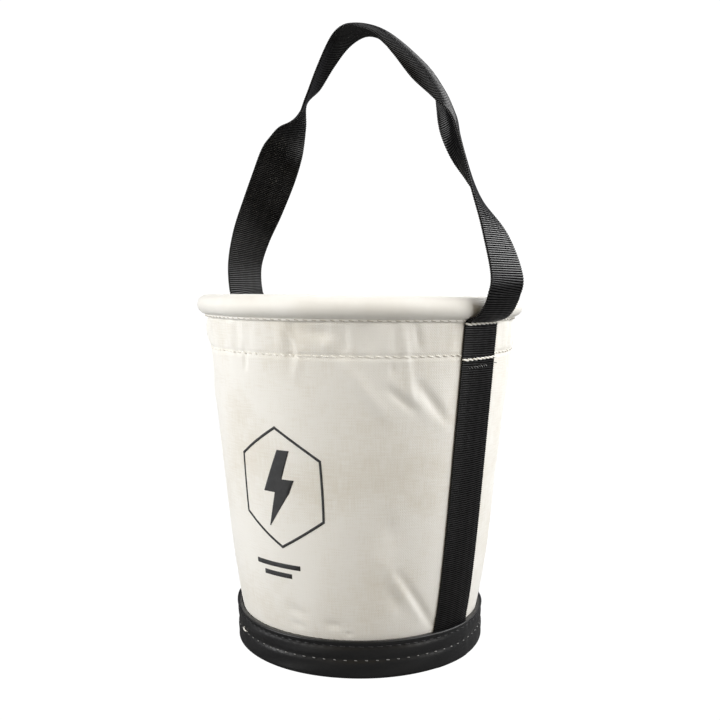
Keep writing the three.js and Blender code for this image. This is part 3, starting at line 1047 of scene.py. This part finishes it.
@dataclass
class Rim:
    """The hoop and the white wrap that is sewn round it.

    Attributes:
        wrap: thickness of the wrap's cloth.
        flange_drop: twice the length of its two edges below the rim row.
        columns: steps round the rim.
    """

    layout: Layout
    finishes: Finishes
    wrap: float = 0.9 * MM
    flange_drop: float = 1.5 * MM
    columns: int = 360

    def build(self) -> None:
        """Makes the wrap and the hoop inside it."""
        lay = self.layout
        turn = np.linspace(0, 2 * np.pi, self.columns, endpoint=False)[None, :]
        skin = np.concatenate([self.section(lay.rim_tube, self.wrap),
                               self.section(lay.rim_tube - self.wrap, 0.0)[::-1]])
        soft = 0.18 * MM * np.cos(5 * turn + 1) + 0.12 * MM * np.cos(13 * turn + 2)
        up = np.clip((skin[:, 1:] - lay.rim_height) / lay.rim_tube, -1, 1)
        rings = ring_points(skin[:, :1] + soft, turn, skin[:, 1:] + 0.6 * soft * up)
        surface = ring_surface(lay.settle(rings), lay.rim_radius)
        piece = make_piece("rim_wrap_cloth", surface, self.finishes.rim,
                           Body.BUCKET, ("rim_wrap",))
        girth = float(np.linalg.norm(np.diff(self.section(lay.rim_tube, self.wrap), axis=0),
                                     axis=1).sum())
        section = np.linspace(0, 2 * np.pi, 20, endpoint=False)[:, None]
        hoop_low, hoop_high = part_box("rim_hoop")
        core = (hoop_high.z - hoop_low.z) / 2
        hoop = ring_points(lay.rim_radius + core * np.cos(section), turn,
                           lay.rim_height + core * np.sin(section))
        make_piece("rim_hoop_core", ring_surface(lay.settle(hoop), lay.rim_radius),
                   self.finishes.hoop, Body.BUCKET, ("rim_hoop",))

    def section(self, tube: float, lift: float) -> Array:
        """One face of the wrap: up the wall, round the hoop and down the facing.

        Round the hoop it is (rim radius + tube cos t, rim height + tube sin t).

        Args:
            tube: radius round the hoop.
            lift: how far it stands off the cloth that it is sewn to.

        Returns:
            n x 2 radii and heights.
        """
        lay = self.layout
        low = lay.rim_row - self.flange_drop / 2
        heights = np.linspace(low, lay.rim_row + 0.8 * MM, 4)
        outer = np.stack([lay.cone(heights) + lay.clearance + lift, heights], -1)
        layers = 2 * lay.canvas + 2 * lay.clearance
        inner = np.stack([lay.cone(heights) - layers - lift, heights], -1)[::-1]
        start = -np.pi / 2 + math.asin((0.9 * MM + lift) / tube)
        end = 1.5 * np.pi - math.asin((layers + 0.7 * MM) / tube)
        t = np.linspace(start, end, 40)
        hoop = np.stack([lay.rim_radius + tube * np.cos(t), lay.rim_height + tube * np.sin(t)],
                        -1)
        return np.concatenate([outer, hoop, inner])


@dataclass
class Boot:
    """The black vinyl boot, its rows of stitches and the disc on the underside.

    Attributes:
        corner: radius of the edge at the floor.
        flange_width: how far it turns under the floor, at the thickness flange.
        pinch: depth of the groove that a row of stitches pulls in, over pinch_reach.
        flare: how far the lip stands out above the upper row.
        gape: how far the lip has come away from the canvas, at gape_azimuth.
        bulge: how far it stands out over each strap.
        wave_rise: height over which its slow waves turn by 14 radians.
        lower_drop: how far below its node the lower row is sewn.
        upper_pitch: spacing of the upper row's stitches; lower_pitch is the lower row's.
    """

    layout: Layout
    finishes: Finishes
    corner: float = 3.2 * MM
    flange_width: float = 17 * MM
    flange: float = 2.4 * MM
    pinch: float = 0.85 * MM
    pinch_reach: float = 2.3 * MM
    flare: float = 0.7 * MM
    gape: float = 3.8 * MM
    gape_azimuth: float = math.radians(-152)
    gape_reach: float = math.radians(20)
    bulge: float = 0.5 * MM
    wave_rise: float = 33 * MM
    lower_drop: float = 0.8 * MM
    upper_pitch: float = 8 * MM
    lower_pitch: float = 9.2 * MM

    def outer_radius(self, azimuth: Array, height: Array) -> Array:
        """Radius of the boot's outer face.

        Its plain radius, less a groove exp(-(z - row) squared) at each row, deeper at the
        stitches' holes, plus a lip that flares, slow waves and a bulge over each strap.

        Args:
            azimuth: azimuths, in radians.
            height: heights, in metres.

        Returns:
            Radii, in metres.
        """
        lay = self.layout
        radius = lay.boot_radius + 0 * azimuth * height
        for row, pitch in ((lay.boot_upper_row, self.upper_pitch),
                           (lay.boot_lower_row, self.lower_pitch)):
            holes = round(2 * np.pi * lay.boot_radius / pitch)
            depth = self.pinch * (0.8 + 0.2 * np.cos(holes * azimuth))
            radius = radius - depth * np.exp(-((height - row) / self.pinch_reach) ** 2)
        lip = np.clip((height - lay.boot_upper_row) / (lay.boot_height - lay.boot_upper_row),
                      0, 1)
        waves = (0.25 * np.cos(5 * azimuth + 1)
                 + 0.18 * np.cos(9 * azimuth - 14 * height / self.wave_rise))
        return (radius + self.flare * lip + MM * waves * np.clip(height / self.corner, 0, 1)
                + self.bulge * lay.strap_cover(azimuth) + self.gaping(azimuth, height))

    def gaping(self, azimuth: Array, height: Array) -> Array:
        """How far the boot's upper edge has come away from the canvas.

        It is gape exp(-(distance from its azimuth / reach) squared) times the squared share of
        the height.

        Args:
            azimuth: azimuths, in radians.
            height: heights, in metres.

        Returns:
            Offsets along the radius, in metres.
        """
        apart = np.angle(np.exp(1j * (azimuth - self.gape_azimuth))) / self.gape_reach
        return self.gape * np.exp(-apart ** 2) * (height / self.layout.boot_height) ** 2

    def build(self) -> None:
        """Makes the boot, the wear disc, both rows of stitches and the thread's knot."""
        lay = self.layout
        turn = np.linspace(0, 2 * np.pi, 368, endpoint=False)[None, :]
        bend = np.linspace(0, np.pi / 2, 7)[:, None]
        plain = lay.boot_radius
        foot_in = plain - self.flange_width
        foot_radius = np.linspace(foot_in, plain - self.corner, 4)[:, None]
        corner_in = self.corner * (1 - np.sin(bend))
        corner_z = self.corner * (1 - np.cos(bend))
        round_lip = 1.3 * MM
        side = np.linspace(self.corner + MM, lay.boot_height - round_lip, 46)[:, None]
        lip_in = round_lip * (1 - np.cos(bend[1:]))
        lip_z = lay.boot_height - round_lip + round_lip * np.sin(bend[1:])
        wall_side = lay.cone(lay.boot_height) + lay.clearance
        channel = (lay.webbing + lay.clearance) * lay.strap_cover(turn, 0.4 * MM)
        inner_z = np.linspace(lay.boot_height - 0.3 * MM, self.flange, 12)[:, None]
        lift = 0.35 * MM * np.cos(3 * turn + 2) * (lip_z - round_lip) / lay.boot_height
        rings = np.concatenate([
            ring_points(foot_radius, turn, 0 * foot_radius),
            ring_points(self.outer_radius(turn, corner_z) - corner_in, turn, corner_z),
            ring_points(self.outer_radius(turn, side), turn, side),
            ring_points(self.outer_radius(turn, lip_z) - lip_in, turn, lip_z + lift),
            ring_points(wall_side + channel + self.gaping(turn, inner_z), turn, inner_z),
            ring_points(np.array([[foot_in]]) + 0 * turn, turn, np.array([[self.flange]])),
        ])
        make_piece("vinyl_boot", ring_surface(rings, lay.boot_radius), self.finishes.vinyl,
                   Body.BUCKET, ("base_boot",))
        self.disc()
        self.rows()

    def disc(self) -> None:
        """Makes the wear disc, with a softened edge."""
        low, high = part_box("base_wear_disc")
        disc = turned(disc_profile(low.z, high.z, high.x, 0.7 * MM))
        make_piece("vinyl_wear_disc", disc, self.finishes.vinyl,
                   Body.BUCKET, ("base_wear_disc",))

    def rows(self) -> None:
        """Sews the upper row in black, the lower row in white thread painted grey as painted shade,
        and its knot.
        """
        lay = self.layout
        dash = Stitch(length=4.6 * MM, thickness=0.9 * MM, arch=0.3 * MM, slant=0.3 * MM)
        dot = Stitch(length=2.6 * MM, thickness=0.75 * MM, arch=0.3 * MM, slant=0.2 * MM)
        # The lower row's white thread is painted grey: painted shade.
        plan = ((lay.boot_upper_row, self.upper_pitch, dash, "black_thread",
                 Slot.BLACK_THREAD, "boot_upper_thread"),
                (lay.boot_lower_row - self.lower_drop, self.lower_pitch, dot, "grey_thread_painted_shade_and_glint",
                 Slot.WHITE_THREAD, "boot_lower_thread"))
        for height, pitch, stitch, finish, slot, node in plan:
            count = round(2 * np.pi * lay.boot_radius / pitch)
            turn = np.linspace(0, 2 * np.pi, count, endpoint=False) + np.pi / count
            places = ring_points(self.outer_radius(turn, height), turn, height + 0 * turn)
            make_piece(node + "_stitches", sew(stitch, places, around(turn), outward(turn), 11),
                       getattr(self.finishes, finish), Body.BUCKET, (node,))
        turn = np.radians([-110.5, -109.6, -111.4])
        height = lay.boot_lower_row + np.array([0.6, 1.4, 0.2]) * MM
        places = ring_points(self.outer_radius(turn, height) + 0.5 * MM, turn, height)
        knot = Stitch(length=6.5 * MM, thickness=0.8 * MM, arch=1.2 * MM, slant=2.4 * MM)
        make_piece("boot_thread_knot", sew(knot, places, around(turn), outward(turn), 5, 0.3),
                   self.finishes.white_thread, Body.BUCKET)


def around(azimuth: Array) -> Array:
    """Unit directions round the axis at these azimuths."""
    return np.stack([-np.sin(azimuth), np.cos(azimuth), 0 * azimuth], -1)


def outward(azimuth: Array) -> Array:
    """Unit directions away from the axis at these azimuths."""
    return np.stack([np.cos(azimuth), np.sin(azimuth), 0 * azimuth], -1)


# ---- Webbing ----------------------------------------------------------------------------------

# The free loop's route: x, y and rise above the rim's centre in mm, then the strap's
# twist about its own line and the angle that it cups through across its width, in degrees.
HANDLE_ROUTE = (
    (155, 0, -7.5, 0, 15), (161.5, 0, 0, 0, 10), (166, 0, 11, 0, 4), (167.5, 1, 28, 0, 0),
    (157, 0, 61, -8, 5), (142, -4, 92, -26, 10), (129, -4, 119, -40, 25),
    (119, -2, 140, -50, 60), (113, 0, 159, -52, 115), (104, 0, 180, -32, 160),
    (86, 0, 203, -8, 140), (64, 0, 224, -12, 120), (42, 0, 241, -18, 100),
    (22, 0, 252, -12, 85), (4, 0, 257, -4, 45), (-15, 0, 256, 8, 34), (-34, 0, 246, 20, 34),
    (-51, 0, 228, 28, 25), (-67, 0, 207, 35, 15), (-82, 0, 192, 44, 8), (-95, 0, 178, 15, 5),
    (-104, 0, 165, -4, 5), (-113, 0, 151, -24, 5), (-125, 0, 130, -38, 5),
    (-144, 0, 100, -30, 5), (-158, -4, 70, -14, 4), (-165.6, -7, 40, -2, 2),
    (-164, -7, 12, 0, 4), (-159, -3, -2, 0, 10), (-155, 0, -11, 0, 15),
)


@dataclass
class Strap:
    """The one length of webbing: up one wall, over as the handle and down the other wall.

    Attributes:
        rib: spacing of the cross ribs, each rib_height high.
        scallop: how far the edges draw in between two ribs.
        selvedge: width of the thinner edge; edge_round is how much of it is rounded off, and
            edge_share is its outermost thickness as a share of the webbing's.
        dent: how far the strap is pulled in between its two rows, at dent_height, over
            dent_reach.
        past_row: how far above the upper row it still lies on the wall.
        leave: how far out, and above the upper row, the first station off the wall lies.
        bend_start: not used.
        bend_end: not used.
    """

    layout: Layout
    finishes: Finishes
    rib: float = RIB_PITCH * MM
    rib_height: float = 0.46 * MM
    scallop: float = 0.45 * MM
    selvedge: float = 1.6 * MM
    edge_round: float = 0.5 * MM
    edge_share: float = 0.45
    steps_per_rib: int = 4
    dent: float = 0.6 * MM
    dent_height: float = 287 * MM
    dent_reach: float = 7 * MM
    past_row: float = 1.8 * MM
    leave: float = 3.5 * MM
    bend_start: float = 298 * MM
    bend_end: float = 358 * MM

    def stations(self) -> Array:
        """The whole route as rows of x, y, z, twist and cup, in metres and degrees.

        Returns:
            n x 5 numbers.
        """
        lay = self.layout
        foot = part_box("wall_strap_right")[0].z
        heights = np.array([foot, 20 * MM, lay.boot_height, 60 * MM, 100 * MM, 140 * MM,
                            180 * MM, 220 * MM, 255 * MM, 280 * MM, 294 * MM,
                            lay.strap_upper_row + self.past_row])
        radius = lay.cone(heights) + lay.clearance + lay.webbing / 2
        radius -= self.dent * np.exp(-((heights - self.dent_height) / self.dent_reach) ** 2)
        cup = np.degrees(lay.webbing_width / radius)
        zero = 0 * heights
        wall = np.stack([radius, zero, heights, zero, cup], -1)
        leave = np.array([[radius[-1] + self.leave, 0, lay.strap_upper_row + self.leave, 0,
                           HANDLE_ROUTE[0][4]]])
        loop = np.array(HANDLE_ROUTE, float)
        loop[:, :3] *= MM
        loop[:, 2] += lay.rim_height
        mirror = np.array([-1, 1, 1, 1, 1])
        return np.concatenate([wall, leave, loop, leave * mirror, wall[::-1] * mirror])

    @staticmethod
    def smooth_path(stations: Array, spacing: float) -> tuple[Array, Array]:
        """A Catmull-Rom curve through the stations, at even steps of length.

        Between two stations it is the cubic that passes through both, with each end's slope
        half the difference of that station's neighbours.

        Args:
            stations: n x k numbers, the first three of them the place.
            spacing: length of a step.

        Returns:
            m x k numbers at even steps, and the length along the path at each.
        """
        padded = np.concatenate([[2 * stations[0] - stations[1]], stations,
                                 [2 * stations[-1] - stations[-2]]])
        u = np.linspace(0, len(stations) - 1, 24 * len(stations))
        i = np.minimum(u.astype(int), len(stations) - 2)
        t = (u - i)[:, None]
        a, b, c, d = (padded[i + k] for k in range(4))
        curve = 0.5 * (2 * b + (c - a) * t + (2 * a - 5 * b + 4 * c - d) * t ** 2
                       + (3 * b - a - 3 * c + d) * t ** 3)
        length = np.concatenate([[0], np.cumsum(
            np.linalg.norm(np.diff(curve[:, :3], axis=0), axis=1))])
        even = np.linspace(0, length[-1], round(length[-1] / spacing) + 1)
        return np.stack([np.interp(even, length, column) for column in curve.T], -1), even

    def build(self) -> None:
        """Makes the webbing with its ribs and scalloped edges, as one piece on no body.

        Across its width it lies on an arc of radius width / cup about its own line. A rib's
        share is |cos(pi length / rib)|, and the edges draw in with (across / half) to the 12th.
        """
        lay = self.layout
        path, length = self.smooth_path(self.stations(), self.rib / self.steps_per_rib)
        place, twist, cup = path[:, :3], np.radians(path[:, 3:4]), np.radians(path[:, 4:5])
        tangent = np.gradient(place, axis=0)
        tangent /= np.linalg.norm(tangent, axis=1, keepdims=True)
        level = np.array([0, 1, 0]) - tangent * tangent[:, 1:2]
        level /= np.linalg.norm(level, axis=1, keepdims=True)
        normal = np.cross(level, tangent)
        edge = level * np.cos(twist) + normal * np.sin(twist)
        face = normal * np.cos(twist) - level * np.sin(twist)
        half = lay.webbing_width / 2
        inner = np.linspace(-1, 1, 13) * (half - self.selvedge)
        across = np.concatenate([[-half, -half + self.edge_round], inner,
                                 [half - self.edge_round, half]])
        thickness = np.full(len(across), lay.webbing / 2)
        thickness[[0, -1]] *= self.edge_share
        across = np.concatenate([across, across[::-1]])[None, :]
        out = np.concatenate([thickness, -thickness[::-1]])[None, :]
        rib = np.abs(np.cos(np.pi * length / self.rib))[:, None]
        out = out + np.sign(out) * self.rib_height * (rib - 0.5)
        outer_half = np.abs(across) / half
        across = across * (1 - self.scallop / half * (1 - rib) * outer_half ** 12)
        bend = lay.webbing_width / np.maximum(cup, math.radians(0.1))
        turn = across / bend
        points = (place[:, None]
                  + edge[:, None] * ((bend + out) * np.sin(turn))[..., None]
                  + face[:, None] * ((bend + out) * np.cos(turn) - bend)[..., None])
        v = np.concatenate([length, length[-1:]])
        u = np.concatenate([across[0], across[0, :1]])
        uv = np.stack(np.broadcast_arrays(u[None, :], v[:, None]), -1)
        surface = closed_grid(lay.settle(points), uv, open_rows=True)
        piece = make_piece("webbing_strap", surface, self.finishes.webbing, None,
                           ("handle_strap", "wall_strap_right", "wall_strap_left"))
        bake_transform(piece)
        log.info("webbing: %.3f m long", length[-1])


# ---- Rows of stitches on the cloth ------------------------------------------------------------

@dataclass
class Sewing:
    """Every row of stitches on the canvas and on the straps.

    Attributes:
        pitch: spacing of the stitches on the canvas; strap_pitch is that across a strap.
        upper_rise: how far above its node the row at a strap's top is sewn.
        lower_rise: the same for the row below it.
        climb: how much both rows climb for their length.
        seam_lift: how far the back seam's stitches stand off the cloth.
    """

    layout: Layout
    finishes: Finishes
    pitch: float = 7.4 * MM
    strap_pitch: float = 5.4 * MM
    upper_rise: float = 1.5 * MM
    lower_rise: float = 1.2 * MM
    climb: float = 0.03
    seam_lift: float = 0.15 * MM

    def build(self) -> None:
        """Sews the rim row, the hem row, the strap rows and the back seam."""
        lay = self.layout
        margin = (lay.webbing_width / 2 + 1.5 * MM) / lay.rim_radius
        rim = Stitch(length=4.6 * MM, thickness=0.8 * MM, arch=0.35 * MM, slant=0.8 * MM)
        hem = Stitch(length=5.6 * MM, thickness=1.1 * MM, arch=0.5 * MM, slant=1.1 * MM)
        rim_lift = lay.clearance + 0.9 * MM
        for name, start in (("front", -np.pi), ("back", 0.0)):
            ends = (start + margin, start + np.pi - margin)
            # The rim row's white thread is painted grey as painted shade under the rim.
            self.wall_row(f"rim_stitches_{name}", rim, ends, lay.rim_row, -rim_lift,
                          f"rim_thread_{name}", False, self.finishes.rim_thread)
            self.wall_row(f"hem_stitches_{name}", hem, ends, lay.hem_row, -0.6 * MM,
                          f"hem_thread_{name}", True, self.finishes.white_thread)
        for side in Side:
            label = side.name.lower()
            for row, height in (("upper", lay.strap_upper_row + self.upper_rise),
                                ("lower", lay.strap_lower_row + self.lower_rise)):
                self.strap_row(f"strap_{row}_stitches_{label}", side, height,
                               f"strap_{row}_thread_{label}")
            self.tack(side, label)
            self.seam(side, label)

    def wall_row(self, name: str, stitch: Stitch, ends: tuple[float, float], height: float,
                 inset: float, node: str, on_relief: bool,
                 thread: bpy.types.Material) -> None:
        """Sews a level row on the wall.

        Args:
            name: the piece's name.
            stitch: its stitch.
            ends: first and last azimuths.
            height: the row's height.
            inset: depth below the wall's outer face; below zero is proud of it.
            node: the frame's node that it stands for.
            on_relief: True where it follows the cloth's folds.
            thread: the thread's finish.
        """
        lay = self.layout
        turn = row_steps(*ends, lay.rim_radius, self.pitch)
        level = np.full_like(turn, height)
        if on_relief:
            places = lay.wall(turn, level, inset)
        else:
            places = ring_points(lay.cone(level) - inset, turn, level)
        surface = sew(stitch, lay.settle(places), around(turn), outward(turn), len(name))
        make_piece(name, surface, thread, Body.BUCKET, (node,))

    def strap_row(self, name: str, side: Side, height: float, node: str) -> None:
        """Sews a white row across a strap: fat slanted stitches, end to end like a rope.

        Args:
            name: the piece's name.
            side: which strap.
            height: the row's height.
            node: the frame's node that it stands for.
        """
        lay = self.layout
        length = lay.webbing_width
        stitch = Stitch(length=6.8 * MM, thickness=1.9 * MM, arch=0.4 * MM, slant=1.1 * MM)
        radius = lay.cone(height) + lay.clearance + lay.webbing + 0.7 * MM
        count = round(length / self.strap_pitch)
        across = (np.arange(count) + 0.5 - count / 2) * length / count
        turn = across / radius + (0 if side is Side.RIGHT else np.pi)
        places = ring_points(radius, turn, height + self.climb * across)
        surface = sew(stitch, lay.settle(places), around(turn), outward(turn), 3, 0.06)
        make_piece(name, surface, self.finishes.white_thread,
                   Body.BUCKET, (node,))

    def tack(self, side: Side, label: str) -> None:
        """Sews the short black tack under a strap's lower row, its thread painted grey as a painted
        glint, with its loose black tail.

        Args:
            side: which strap.
            label: its name.
        """
        lay = self.layout
        low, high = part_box(f"strap_tack_{label}")
        length = high.y - low.y
        radius = lay.cone(lay.tack_row) + lay.clearance + lay.webbing + 0.25 * MM
        count = round(length / (3.2 * MM))
        across = (np.arange(count) + 0.5 - count / 2) * length / count - 3 * MM
        centre = 0 if side is Side.RIGHT else np.pi
        turn = across / radius + centre
        places = ring_points(radius + 0.15 * MM, turn, lay.tack_row + 0.05 * across)
        stitch = Stitch(length=2.9 * MM, thickness=0.7 * MM, arch=0.5 * MM, slant=1.6 * MM)
        surface = sew(stitch, lay.settle(places), around(turn), outward(turn), 8, 0.3)
        # Black thread painted grey: a painted glint.
        make_piece(f"strap_tack_stitches_{label}", surface, self.finishes.grey_thread_painted_shade_and_glint,
                   Body.BUCKET, (f"strap_tack_{label}",))
        turn = np.array([lay.webbing_width / 2 / radius + centre])
        places = ring_points(radius + 0.5 * MM, turn, np.array([lay.tack_row + 2 * MM]))
        loose = Stitch(length=9 * MM, thickness=0.7 * MM, arch=0.6 * MM, slant=1.2 * MM)
        surface = sew(loose, lay.settle(places), around(turn), outward(turn), 2)
        make_piece(f"strap_tack_tail_{label}", surface, self.finishes.black_thread,
                   Body.BUCKET)

    def seam(self, side: Side, label: str) -> None:
        """Sews one of the two upright rows of the wall's back seam.

        Args:
            side: which row.
            label: its name.
        """
        lay = self.layout
        low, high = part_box(f"seam_thread_{label}")
        height = np.arange(low.z + self.pitch / 2, high.z, self.pitch)
        offset = (low.x + high.x) / 2
        turn = np.pi / 2 - offset / lay.cone(height)
        places = lay.wall(turn, height, -self.seam_lift)
        step = 0.5 * MM
        ahead = lay.wall(turn, height + step, -self.seam_lift)
        along = ahead - places
        along /= np.linalg.norm(along, axis=1, keepdims=True)
        stitch = Stitch(length=5.6 * MM, thickness=0.95 * MM, arch=0.5 * MM, slant=0.7 * MM)
        surface = sew(stitch, lay.settle(places), along, outward(turn), 17)
        make_piece(f"seam_stitches_{label}", surface, self.finishes.white_thread,
                   Body.BUCKET, (f"seam_thread_{label}",))


# ---- Printed mark -----------------------------------------------------------------------------

@dataclass
class PrintedMark:
    """A plain generic print on the front: a hexagon round a lightning bolt, over two bars.

    Attributes:
        azimuth: where its middle is; height is how high.
        size: radius of the hexagon's corners; narrowing is its width over its height.
        line: width of the outline.
        bar_drop: how far below the middle the bars lie; bar_aside is how far round.
        lift: how far the print's face stands off the cloth; back_lift is its underside's.
    """

    layout: Layout
    finishes: Finishes
    azimuth: float = math.radians(-77.5)
    height: float = 163 * MM
    size: float = 53 * MM
    narrowing: float = 0.9
    line: float = 2.6 * MM
    bar_drop: float = 70 * MM
    bar_aside: float = -8 * MM
    lift: float = 0.2 * MM
    back_lift: float = 0.02 * MM

    def build(self) -> None:
        """Prints the hexagon, the bolt and the bars."""
        self.hexagon()
        bolt_levels = np.array([33, 8.05, 7.95, -3.95, -4.05, -34]) * MM
        left = np.array([1, -10.5, -10.6, -16, -4, -12]) * MM
        right = np.array([13, 4, 16, 10.4, 10.3, -11]) * MM
        self.patch("print_bolt", bolt_levels, left, right, 0.0)
        for index, (top, half) in enumerate(((3.2, 24), (-5.2, 15))):
            levels = np.array([top, top - 4.2]) * MM
            ends = np.full(2, half * MM)
            self.patch(f"print_bar_{index + 1}", levels, self.bar_aside - ends,
                       self.bar_aside + ends, -self.bar_drop)

    def laid(self, across: Array, up: Array, lift: float) -> Array:
        """Places of the print on the cloth.

        Args:
            across: distance from the mark's middle round the bucket.
            up: height above the mark's middle.
            lift: how far it stands off the cloth.

        Returns:
            The places.
        """
        lay = self.layout
        height = self.height + up
        azimuth = self.azimuth + across / lay.cone(height)
        return lay.settle(lay.wall(azimuth, height, -lift))

    def hexagon(self) -> None:
        """Prints a hexagon's outline as a thin closed band with its corners rounded off."""
        turn = np.linspace(0, 2 * np.pi, 180, endpoint=False)[None, :]
        corner = np.cos(np.pi / 6) / np.cos(turn % (np.pi / 3) - np.pi / 6)
        shape = 0.93 * corner + 0.07
        band = np.array([0, 0.5, 1, 1, 0.5, 0])[:, None] * self.line
        lift = np.repeat([self.lift, self.back_lift], 3)[:, None]
        radius = (self.size - band) * shape
        across = self.narrowing * radius * np.sin(turn)
        points = self.laid(across, radius * np.cos(turn), lift)
        make_piece("print_hexagon", ring_surface(points, self.size), self.finishes.ink,
                   Body.BUCKET)

    def patch(self, name: str, levels: Array, left: Array, right: Array, shift: float) -> None:
        """Prints a shape given by its left and right edges at each level.

        Between two levels the edges are straight, and every point lies on the cloth.

        Args:
            name: the piece's name.
            levels: heights from high to low.
            left: left edges.
            right: right edges.
            shift: how far the whole shape is moved up.
        """
        fine = np.arange(levels[-1], levels[0], 1.5 * MM)
        rows = np.unique(np.concatenate([fine, levels]))[::-1]
        start = np.interp(-rows, -levels, left)[:, None]
        end = np.interp(-rows, -levels, right)[:, None]
        share = np.linspace(0, 1, 9)[None, :]
        share = np.concatenate([share, share[:, ::-1]], 1)
        lift = np.repeat([self.lift, self.back_lift], 9)[None, :]
        across = start + (end - start) * share
        points = self.laid(across, rows[:, None] + shift + 0 * across, lift)
        last = np.concatenate([rows, rows[-1:]])
        first = np.concatenate([across[0], across[0, :1]])
        uv = np.stack(np.broadcast_arrays(first[None, :], last[:, None]), -1)
        make_piece(name, closed_grid(points, uv, open_rows=True), self.finishes.ink,
                   Body.BUCKET)


# ---- Studio -----------------------------------------------------------------------------------

@dataclass
class Studio:
    """The camera, the pale floor and the soft light.

    Attributes:
        distance: the camera's distance from the axis; height is its height.
        azimuth: how far round from -Y the camera stands.
        pitch: how far it looks down, in radians.
        lens: focal length in mm; sensor is the sensor's width.
        aim: height that the softboxes face.
        reach: half the floor's side.
        paper: share of the light that the floor sends back.
        white: how bright the floor and the backdrop look.
        rear_light: colour of the room's light from behind; front_light is that from the front.
    """

    distance: float = 0.84795
    height: float = 0.32894
    azimuth: float = math.radians(44.5)
    pitch: float = 0.078
    lens: float = 44.55
    sensor: float = 36.0
    aim: float = 0.25
    reach: float = 6.0
    paper: float = 0.2
    white: float = 1.05
    rear_light: tuple[float, float, float] = (0.13, 0.13, 0.14)
    front_light: tuple[float, float, float] = (0.33, 0.26, 0.155)

    def build(self) -> None:
        """Sets up everything that isn't part of the bucket."""
        self.camera()
        self.floor()
        self.world()
        self.softbox("key_softbox", (1.41, 0.41, 0.95), 1.3, 22.0)
        self.softbox("edge_softbox", (0.566, 1.214, 1.3), 1.1, 22.0)
        self.softbox("fill_softbox", (-0.68, -1.42, 0.7), 1.2, 27.0)
        self.softbox("top_softbox", (0.0, 0.1, 1.9), 1.0, 5.0)

    def camera(self) -> None:
        """Stands the camera off the front right, looking slightly down."""
        data = bpy.data.cameras.new("camera")
        data.lens = self.lens
        data.sensor_width = self.sensor
        camera = bpy.data.objects.new("camera", data)
        bpy.context.scene.collection.objects.link(camera)
        camera.location = (self.distance * math.sin(self.azimuth),
                           -self.distance * math.cos(self.azimuth), self.height)
        camera.rotation_euler = (math.pi / 2 - self.pitch, 0, self.azimuth)
        bpy.context.scene.camera = camera

    def floor(self) -> None:
        """Lays a floor that looks pure white but sends back only the light of grey paper."""
        mesh = bpy.data.meshes.new("studio_floor")
        far = self.reach
        mesh.from_pydata([(-far, -far, 0), (far, -far, 0), (far, far, 0), (-far, far, 0)], [],
                         [(0, 1, 2, 3)])
        material = bpy.data.materials.new("studio_paper_white")
        material.use_nodes = True
        tree = material.node_tree
        tree.nodes.clear()
        paper = add_node(tree, "BsdfDiffuse", inputs={"Color": (*[self.paper] * 3, 1)})
        glow = add_node(tree, "Emission", inputs={"Color": (1, 1, 1, 1),
                                                  "Strength": self.white})
        seen = add_node(tree, "LightPath").outputs["Is Camera Ray"]
        mixed = add_node(tree, "MixShader", inputs={
            0: seen, 1: paper.outputs[0], 2: glow.outputs[0]})
        add_node(tree, "OutputMaterial", inputs={"Surface": mixed.outputs[0]})
        mesh.materials.append(material)
        floor = bpy.data.objects.new("studio_floor", mesh)
        bpy.context.scene.collection.objects.link(floor)

    def world(self) -> None:
        """Fills the room with a little even light, warmer and stronger from the front.

        The backdrop itself is plain white to the camera.
        """
        world = bpy.data.worlds.new("studio_world")
        bpy.context.scene.world = world
        world.use_nodes = True
        tree = world.node_tree
        tree.nodes.clear()
        way = add_node(tree, "TexCoord").outputs["Generated"]
        front = (math.sin(self.azimuth), -math.cos(self.azimuth), 0.0)
        toward = add_node(tree, "VectorMath", {"operation": "DOT_PRODUCT"}, {0: way, 1: front})
        share = add_node(tree, "MapRange", inputs={
            "Value": toward.outputs["Value"], "From Min": 0.0, "From Max": 0.9})
        first, second, mixed = 6, 7, 2  # a Mix node's colour inputs and its colour output
        light = add_node(tree, "Mix", {"data_type": "RGBA"}, {
            "Factor": share.outputs[0], first: (*self.rear_light, 1),
            second: (*self.front_light, 1)})
        seen = add_node(tree, "LightPath").outputs["Is Camera Ray"]
        colour = add_node(tree, "Mix", {"data_type": "RGBA"}, {
            "Factor": seen, first: light.outputs[mixed], second: (*[self.white] * 3, 1)})
        shine = add_node(tree, "Background", inputs={"Color": colour.outputs[mixed]})
        add_node(tree, "OutputWorld", inputs={"Surface": shine.outputs[0]})

    def softbox(self, name: str, place: tuple[float, float, float], size: float,
                power: float) -> None:
        """Hangs a square softbox that faces the middle of the bucket.

        Args:
            name: its name.
            place: where it hangs.
            size: its side.
            power: its power in watts.
        """
        data = bpy.data.lights.new(name, "AREA")
        data.shape = "SQUARE"
        data.size = size
        data.energy = power
        lamp = bpy.data.objects.new(name, data)
        bpy.context.scene.collection.objects.link(lamp)
        lamp.location = place
        towards = np.array([0, 0, self.aim]) - np.array(place)
        flat = math.hypot(towards[0], towards[1])
        lamp.rotation_euler = (math.atan2(flat, -towards[2]), 0,
                               math.atan2(towards[1], towards[0]) - math.pi / 2)


def main() -> None:
    """Builds every sub-assembly in order."""
    logging.basicConfig(level=logging.INFO, format="%(message)s")
    bpy.context.scene.view_settings.view_transform = "Standard"
    Studio().build()
    layout = Layout.from_frame()
    finishes = Finishes()
    for part in (CanvasBody, Rim, Boot, Strap, Sewing, PrintedMark):
        part(layout, finishes).build()


if __name__ == "__main__":
    main()
